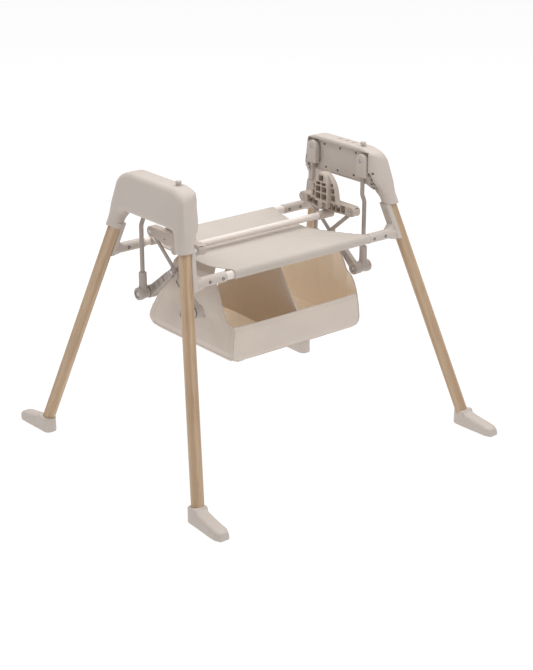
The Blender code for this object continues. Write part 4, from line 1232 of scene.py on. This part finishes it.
def shelf_place(section_point, t):
    """The place on the shelf at a section point, t of the way from its left edge to its right one."""
    y, z, hem = section_point
    edge_y = max(-RAIL_Y, min(RAIL_Y, y))
    low, high = shelf_left_edge(edge_y), shelf_right_edge(edge_y)
    x = low + (high - low) * t
    return Vector((x, y, z + shelf_crease(x, y) * (1 - hem)))


def build_shelf():
    """The cloth between the rails, hemmed round each of them, pulled taut and slightly puckered."""
    section = shelf_section()
    rows = [[shelf_place(point, column / 90) for column in range(91)] for point in section]
    mesh = faced_out(grid_mesh(rows))
    cloth = place("shelf_cloth_sheet", mesh, SHELF, "shelf_cloth", "cloth_shelf", angle=SOFT)
    thicken = cloth.modifiers.new("thickness", "SOLIDIFY")
    thicken.thickness = CLOTH / 2
    thicken.offset = 0.0
    seams = []
    lift = Vector((0, 0, 0.0005))
    for target in (0.0185 - RAIL_Y, RAIL_Y - 0.0185):
        nearest = min(section, key=lambda point: abs(point[1] - target))
        path = [shelf_place(nearest, 0.01 + 0.98 * step / 60) for step in range(61)]
        seams.append(stitches([point + lift for point in path]))
    middle = [point for point in section if abs(point[1]) < RAIL_Y - 0.012]
    for t in (0.016, 0.982):
        seams.append(stitches([shelf_place(point, t) + lift for point in middle]))
    place("shelf_hem_stitches", together(*seams), THREAD, "shelf_cloth", angle=SOFT)


def shelf_crease(x, y):
    """Shallow creases along the rails, rays from the front right corner, a nick and edge puckers."""
    broad = noise.noise(Vector((x * 8, y * 20, 0.3))) * 0.0013
    fan = Vector((x - 0.205, y + 0.150))
    reach = max(0.0, 1 - abs(fan.length - 0.10) / 0.09)
    rays = sin(fan.angle_signed(Vector((-1, 0)), 0.0) * 24) * 0.0009 * reach
    nick = max(0.0, 1 - abs(x - 0.055 + (y + 0.05) * 0.9) / 0.006)
    nick *= max(0.0, 1 - abs(y + 0.045) / 0.03)
    edge = max(0.0, 1 - (shelf_right_edge(y) - x) / 0.035)
    pucker = sin(y * 310) * 0.0005 * edge
    fine = noise.noise(Vector((x * 60, y * 90, 1.7))) * 0.00025
    return broad + rays - 0.0010 * nick + pucker + fine


def profile(points, z):
    """The value at height z of a line through (value, height) points given from the bottom up."""
    for (value, low), (after, high) in zip(points, points[1:]):
        if z <= high:
            return value + (after - value) * max(0.0, (z - low) / (high - low))
    return points[-1][0]


# How far the basket's panels reach along Y or X at each height, as (reach, height) points
PANEL_REAR = [
    (0.140, 0.2620), (0.151, 0.2645), (0.160, 0.2700), (0.166, 0.2790), (0.167, 0.2860),
    (0.164, 0.2980), (0.157, 0.3120), (0.139, 0.3420), (0.120, 0.3700), (0.098, 0.4030),
    (0.078, 0.4340), (0.060, 0.4700)]
PANEL_FRONT = {
    "left": [
        (0.146, 0.2620), (0.152, 0.2650), (0.1555, 0.2720), (0.1555, 0.3400), (0.1500, 0.3450),
        (0.1300, 0.3500), (0.1215, 0.3600), (0.1110, 0.3790), (0.0990, 0.4090), (0.0830, 0.4360),
        (0.060, 0.4700)],
    "right": [
        (0.146, 0.2620), (0.152, 0.2650), (0.1555, 0.2720), (0.1555, 0.3430), (0.1520, 0.3560),
        (0.1450, 0.3720), (0.1330, 0.3860), (0.1180, 0.4040), (0.0990, 0.4350), (0.060, 0.4700)]}
PANEL_X = [
    (0.1805, 0.2620), (0.1860, 0.2700), (0.1895, 0.2860), (0.1880, 0.3150), (0.1845, 0.3450),
    (0.1830, 0.4480), (0.1660, 0.4700)]
DIVIDER_FRONT = [(0.1490, 0.2700), (0.1515, 0.3430), (0.1400, 0.3620), (0.0900, 0.4350), (0.0600, 0.4700)]
FOLD_SPOTS = (-0.122, -0.078, -0.030)
WALL_RIM = 0.3440
REAR_RIM = 0.3120


def grid_mesh(rows):
    shape = bmesh.new()
    grid = [[shape.verts.new(point) for point in row] for row in rows]
    for first, second in zip(grid, grid[1:]):
        for column in range(len(first) - 1):
            shape.faces.new((first[column], first[column + 1], second[column + 1], second[column]))
    return mesh_from(shape)


def thickened(mesh, thickness=CLOTH):
    return faced_out(applied(mesh, "SOLIDIFY", thickness=thickness, offset=0.0))


def side_panel(side):
    """A basket end panel, hung from the shelf: it bellies out a little and falls in soft folds."""
    sign = SIDES[side]
    rows = []
    bottom, top = PANEL_X[0][1], BASKET_TOP
    for row in range(76):
        z = bottom + (top - bottom) * (row / 75) ** 1.15
        front, rear = -profile(PANEL_FRONT[side], z), profile(PANEL_REAR, z)
        line = []
        for column in range(61):
            y = front + (rear - front) * column / 60
            belly = 0.0035 * sin(pi * min(1.0, (z - bottom) / 0.15)) * cos(pi * y / 0.34) ** 2
            x = sign * (profile(PANEL_X, z) + belly - fold_depth(y, z, sign))
            corner = max(0.0, 1 - (y - front) / 0.014) ** 2 * max(0.0, 1 - (z - bottom) / 0.020)
            line.append(Vector((x, y, z + 0.0060 * corner)))
        rows.append(line)
    return rows


def fold_depth(y, z, sign):
    """Vertical folds that deepen towards the shelf, where the cloth is gathered."""
    rise = max(0.0, (z - 0.2750) / (BASKET_TOP - 0.2750))
    sway = y + 0.030 * (z - 0.38) * sign
    wave = sin(sway * 66 + sign * 0.6) * 0.5 + sin(sway * 121 + 1.3) * 0.25
    wave += noise.noise(Vector((y * 20, z * 5, sign))) * 0.6
    fine = noise.noise(Vector((y * 55, z * 30, sign * 3.1))) * 0.0006
    depth, pinched = 0.0045, 0.0
    if sign > 0:
        depth = 0.0110
        pinched = sum(exp(-((sway - spot) / 0.0085) ** 2) for spot in FOLD_SPOTS)
    gathered = (0.0008 + depth * rise ** 0.8) * (wave * 0.5 + 0.5) + 0.0075 * pinched * rise ** 0.5
    return gathered * min(1.0, rise * 4) + fine


def wall_end(z):
    """Where the front and rear walls meet the end panels."""
    return profile(PANEL_X, z) - 0.0008


def low_wall(end):
    """The basket's front or rear wall: a stiffened band that bellies a little between its corners."""
    sign = ENDS[end]
    rows = []
    bottom, top = (0.2640, WALL_RIM) if end == "front" else (0.2640, REAR_RIM)
    reach = PANEL_FRONT["left"] if end == "front" else PANEL_REAR
    for row in range(22):
        t = row / 21
        line = []
        for column in range(91):
            u = -1 + 2 * column / 90
            lift = 0.0020 * (1 - u * u) * (1 - t) + 0.0060 * abs(u) ** 24 * (1 - t)
            lift += 0.0035 * abs(u) ** 8 * t
            z = bottom + (top - bottom) * t + lift
            x = u * wall_end(z)
            belly = 0.0026 * sin(pi * t) * (1 - u ** 4)
            belly += noise.noise(Vector((x * 13, z * 18, sign))) * 0.0012
            y = sign * (min(profile(reach, min(z, top - 0.002)), 0.168) - 0.0006 + belly)
            line.append(Vector((x, y, z)))
        rows.append(line)
    return rows


def floor_panel():
    """The basket's floor, which sags a little and turns up into the walls."""
    rows = []
    for row in range(41):
        v = row / 40
        y = -0.1500 + 0.2980 * v
        line = []
        for column in range(61):
            u = -1 + 2 * column / 60
            rise = 0.0030 * abs(u) ** 10
            sag = 0.0006 * noise.noise(Vector((u * 4, y * 20, 2.0)))
            line.append(Vector((u * 0.1815, y, 0.2632 + rise + sag)))
        rows.append(line)
    return rows


def two_sided(rows, centre_z):
    """Cloth whose faces that look towards the basket's middle take its second material."""
    mesh = thickened(grid_mesh(rows))
    centre = Vector((0, 0, centre_z))
    for face in mesh.polygons:
        face.material_index = 1 if face.normal.dot(centre - face.center) > 0 else 0
    return mesh


def stitches(path, pitch=0.0042, length=0.0028, radius=0.00032):
    """A row of short thread stitches along a path of points."""
    path = [Vector(point) for point in path]
    shape = bmesh.new()
    travelled = 0.0
    due = pitch / 2
    for start, finish in zip(path, path[1:]):
        step = (finish - start).length
        while step > 0 and due <= travelled + step:
            centre = start.lerp(finish, (due - travelled) / step)
            bmesh.ops.create_cone(
                shape, cap_ends=True, segments=6, radius1=radius, radius2=radius * 0.8, depth=length,
                matrix=Matrix.Translation(centre) @ aimed(finish - start))
            due += pitch
        travelled += step
    return mesh_from(shape)


def basket_trims():
    """The binding along the basket's edges, and its rows of stitches."""
    trims, seams = [], []

    def bind(path, radius=0.0013):
        trims.append(tube_mesh(path, radius, 10))

    for side, sign in SIDES.items():
        panel = side_panel(side)
        for edge in (0, -1):
            bind([line[edge] for line in panel])
        bind(panel[0])
        bind([line[2] for line in panel if line[2].z < WALL_RIM], 0.0010)
        bind([point + Vector((sign * 0.0008, 0, 0)) for point in panel[4]])
        out = Vector((sign * 0.0011, 0, 0))
        for column in (3, -4):
            seams.append(stitches([line[column] + out for line in panel[4:]]))
    for end, sign in ENDS.items():
        wall = low_wall(end)
        bind(wall[-1])
        bind(wall[0])
        seams.append(stitches([point + Vector((0, sign * 0.0010, 0)) for point in wall[-3]]))
    return together(*trims), together(*seams)


def build_basket():
    parts = [two_sided(side_panel(side), 0.36) for side in SIDES]
    parts += [two_sided(low_wall(end), 0.31) for end in ENDS]
    parts.append(two_sided(floor_panel(), 0.40))
    place("basket_cloth_body", together(*parts), (BASKET, LINING_PAINTED_GLOW), "basket_cloth", "storage_basket",
          angle=SOFT)
    trims, seams = basket_trims()
    place("basket_binding", trims, BINDING, "basket_cloth", angle=SOFT)
    place("basket_stitches", seams, THREAD, "basket_cloth", angle=SOFT)

    low, high = BOARD_LOW, BOARD_HIGH
    outline = rectangle(low.x, high.x, low.y, high.y, 0.006, 6)
    board = softened(plate_mesh(outline, low.z, high.z, "Z"), 0.0010, 2)
    place("basket_floor_board", board, LINING_PAINTED_GLOW, "basket_cloth", "basket_board", angle=40)

    rows = []
    bottom = BOARD_HIGH.z + 0.0004
    for row in range(41):
        z = bottom + (BASKET_TOP - bottom) * row / 40
        front, rear = -profile(DIVIDER_FRONT, z), profile(PANEL_REAR, z) - 0.0030
        line = []
        for column in range(45):
            y = front + (rear - front) * column / 44
            x = 0.0014 * sin(y * 30 + z * 20) + 0.0012 * noise.noise(Vector((y * 30, z * 25, 5.0)))
            line.append(Vector((x, y, z)))
        rows.append(line)
    place("basket_divider_cloth", thickened(grid_mesh(rows)), DIVIDER, "basket_cloth", "basket_divider",
          angle=SOFT)
    tape = [[point + Vector((0, 0.0007 * sin(point.z * 500), 0)) for point in line[:3]] for line in rows]
    place("divider_binding", thickened(grid_mesh(tape), CLOTH * 2), BINDING, "basket_cloth", angle=SOFT)
    tab = softened(box_mesh((-0.170, -0.146, 0.2592), (-0.150, -0.134, 0.2628)), 0.0010, 2)
    snap = turned_mesh(
        [(0.0, 0.0), (0.0040, 0.0), (0.0040, 0.0008), (0.0028, 0.0016), (0.0, 0.0013)],
        (-0.1893, -0.0450, 0.3450), (-1, 0, 0), 32)
    place("basket_snap_and_tab", together(tab, snap), BINDING, "basket_cloth", angle=40)


# ---------------------------------------------------------------- set

def build_set():
    """A white floor that glows a little by itself, a soft sky, a large light above and a weaker key."""
    shape = bmesh.new()
    bmesh.ops.create_grid(shape, x_segments=2, y_segments=2, size=40.0)
    floor = linked("studio_floor", mesh_from(shape, "studio_floor"))
    look = Look("studio_floor", 0.95, Specular_IOR_Level=0.0, Emission_Strength=0.92)
    look.shader.inputs["Emission Color"].default_value = (1.0, 1.0, 1.0, 1.0)
    look.colour(look.ramp(look.noise(0.6), [(0.4, (0.13, 0.13, 0.13)), (0.6, (0.14, 0.14, 0.14))]))
    floor.data.materials.append(look.material)
    world = bpy.data.worlds.new("studio")
    world.use_nodes = True
    sky = world.node_tree.nodes["Background"].inputs
    sky["Color"].default_value = (1.0, 1.0, 1.0, 1.0)
    sky["Strength"].default_value = 0.31
    bpy.context.scene.world = world
    lights = [("key", (1.4, -2.8, 2.6), 2.2, 13.0), ("top", (0.3, 0.3, 3.2), 5.2, 150.0)]
    for name, spot, size, power in lights:
        light = bpy.data.lights.new(name, "AREA")
        light.size = size
        light.energy = power
        lamp = linked(name, light)
        lamp.location = spot
        lamp.rotation_mode = "QUATERNION"
        lamp.rotation_quaternion = (LIT_POINT - Vector(spot)).to_track_quat("-Z", "Y")
    bpy.context.scene.view_settings.view_transform = "Standard"


def build_camera():
    data = bpy.data.cameras.new("camera")
    data.lens = CAMERA_LENS
    data.sensor_width = 36.0
    camera = linked("camera", data)
    yaw, pitch = radians(CAMERA_YAW), radians(CAMERA_PITCH)
    forward = Vector((sin(yaw) * cos(pitch), cos(yaw) * cos(pitch), -sin(pitch)))
    camera.location = CAMERA_PLACE
    camera.rotation_mode = "QUATERNION"
    camera.rotation_quaternion = forward.to_track_quat("-Z", "Y")
    bpy.context.scene.camera = camera


def dress_hidden_nodes():
    """The pieces that stay as the frame has them get their own finish and soft edges."""
    for name, node in frame["nodes"].items():
        look = {
            "control_board": BOARD, "battery_pack": PAINTED_SHADE_AND_BLACK, "drive_coil": COPPER, "drive_lever": LINK,
        }.get(name, STEEL if name.startswith("pivot_shaft") else None)
        if look:
            node.data.materials.clear()
            node.data.materials.append(look)
            edge = node.modifiers.new("edge", "BEVEL")
            edge.width = 0.0004
            edge.segments = 2


def main():
    build_camera()
    build_set()
    for side in SIDES:
        build_tower(side)
        build_inner_cover(side)
        build_rivet(side)
    build_rails()
    foot, bracket, elbow = foot_form(), build_bracket(), elbow_form()
    for end, side in CORNERS:
        mirror, flip = corner_mirror(end, side), flipped(SIDES[side])
        corner = f"{end}_{side}"
        build_pivot_hood(end, side)
        build_leg(end, side)
        place(f"boot_{corner}", foot.copy(), PLASTIC, "tower_plastic", f"foot_{corner}", mirror)
        place(f"leg_clasp_{corner}", bracket.copy(), PLASTIC, "tower_plastic",
              f"rail_bracket_{corner}", mirror)
        heads, painted_hole_shades = socket_screws(end)
        place(f"socket_screws_{corner}", heads, STEEL, "steel", mirror=flip)
        place(f"screw_hole_painted_shades_{corner}", painted_hole_shades, PAINTED_SHADE_AND_BLACK, "battery_case", mirror=flip)
        build_arm(end, side)
        build_elbow(end, side, elbow)
    carrier, pins = carrier_form(), end_pins()
    for side in SIDES:
        flip = flipped(SIDES[side])
        place(f"carrier_{side}", carrier.copy(), CARRIER, "linkage_plastic", f"seat_carrier_{side}",
              flip, "carriage")
        place(f"carrier_pins_{side}", pins.copy(), STEEL, "steel", None, flip, "carriage")
        for plane, end in (("inner", "rear"), ("outer", "front")):
            place(f"scissor_{plane}_{side}", brace_form(plane), LINK, "linkage_plastic",
                  f"brace_{plane}_{side}", corner_mirror(end, side), "carriage")
    build_buttons()
    build_shelf()
    build_basket()
    dress_hidden_nodes()


main()
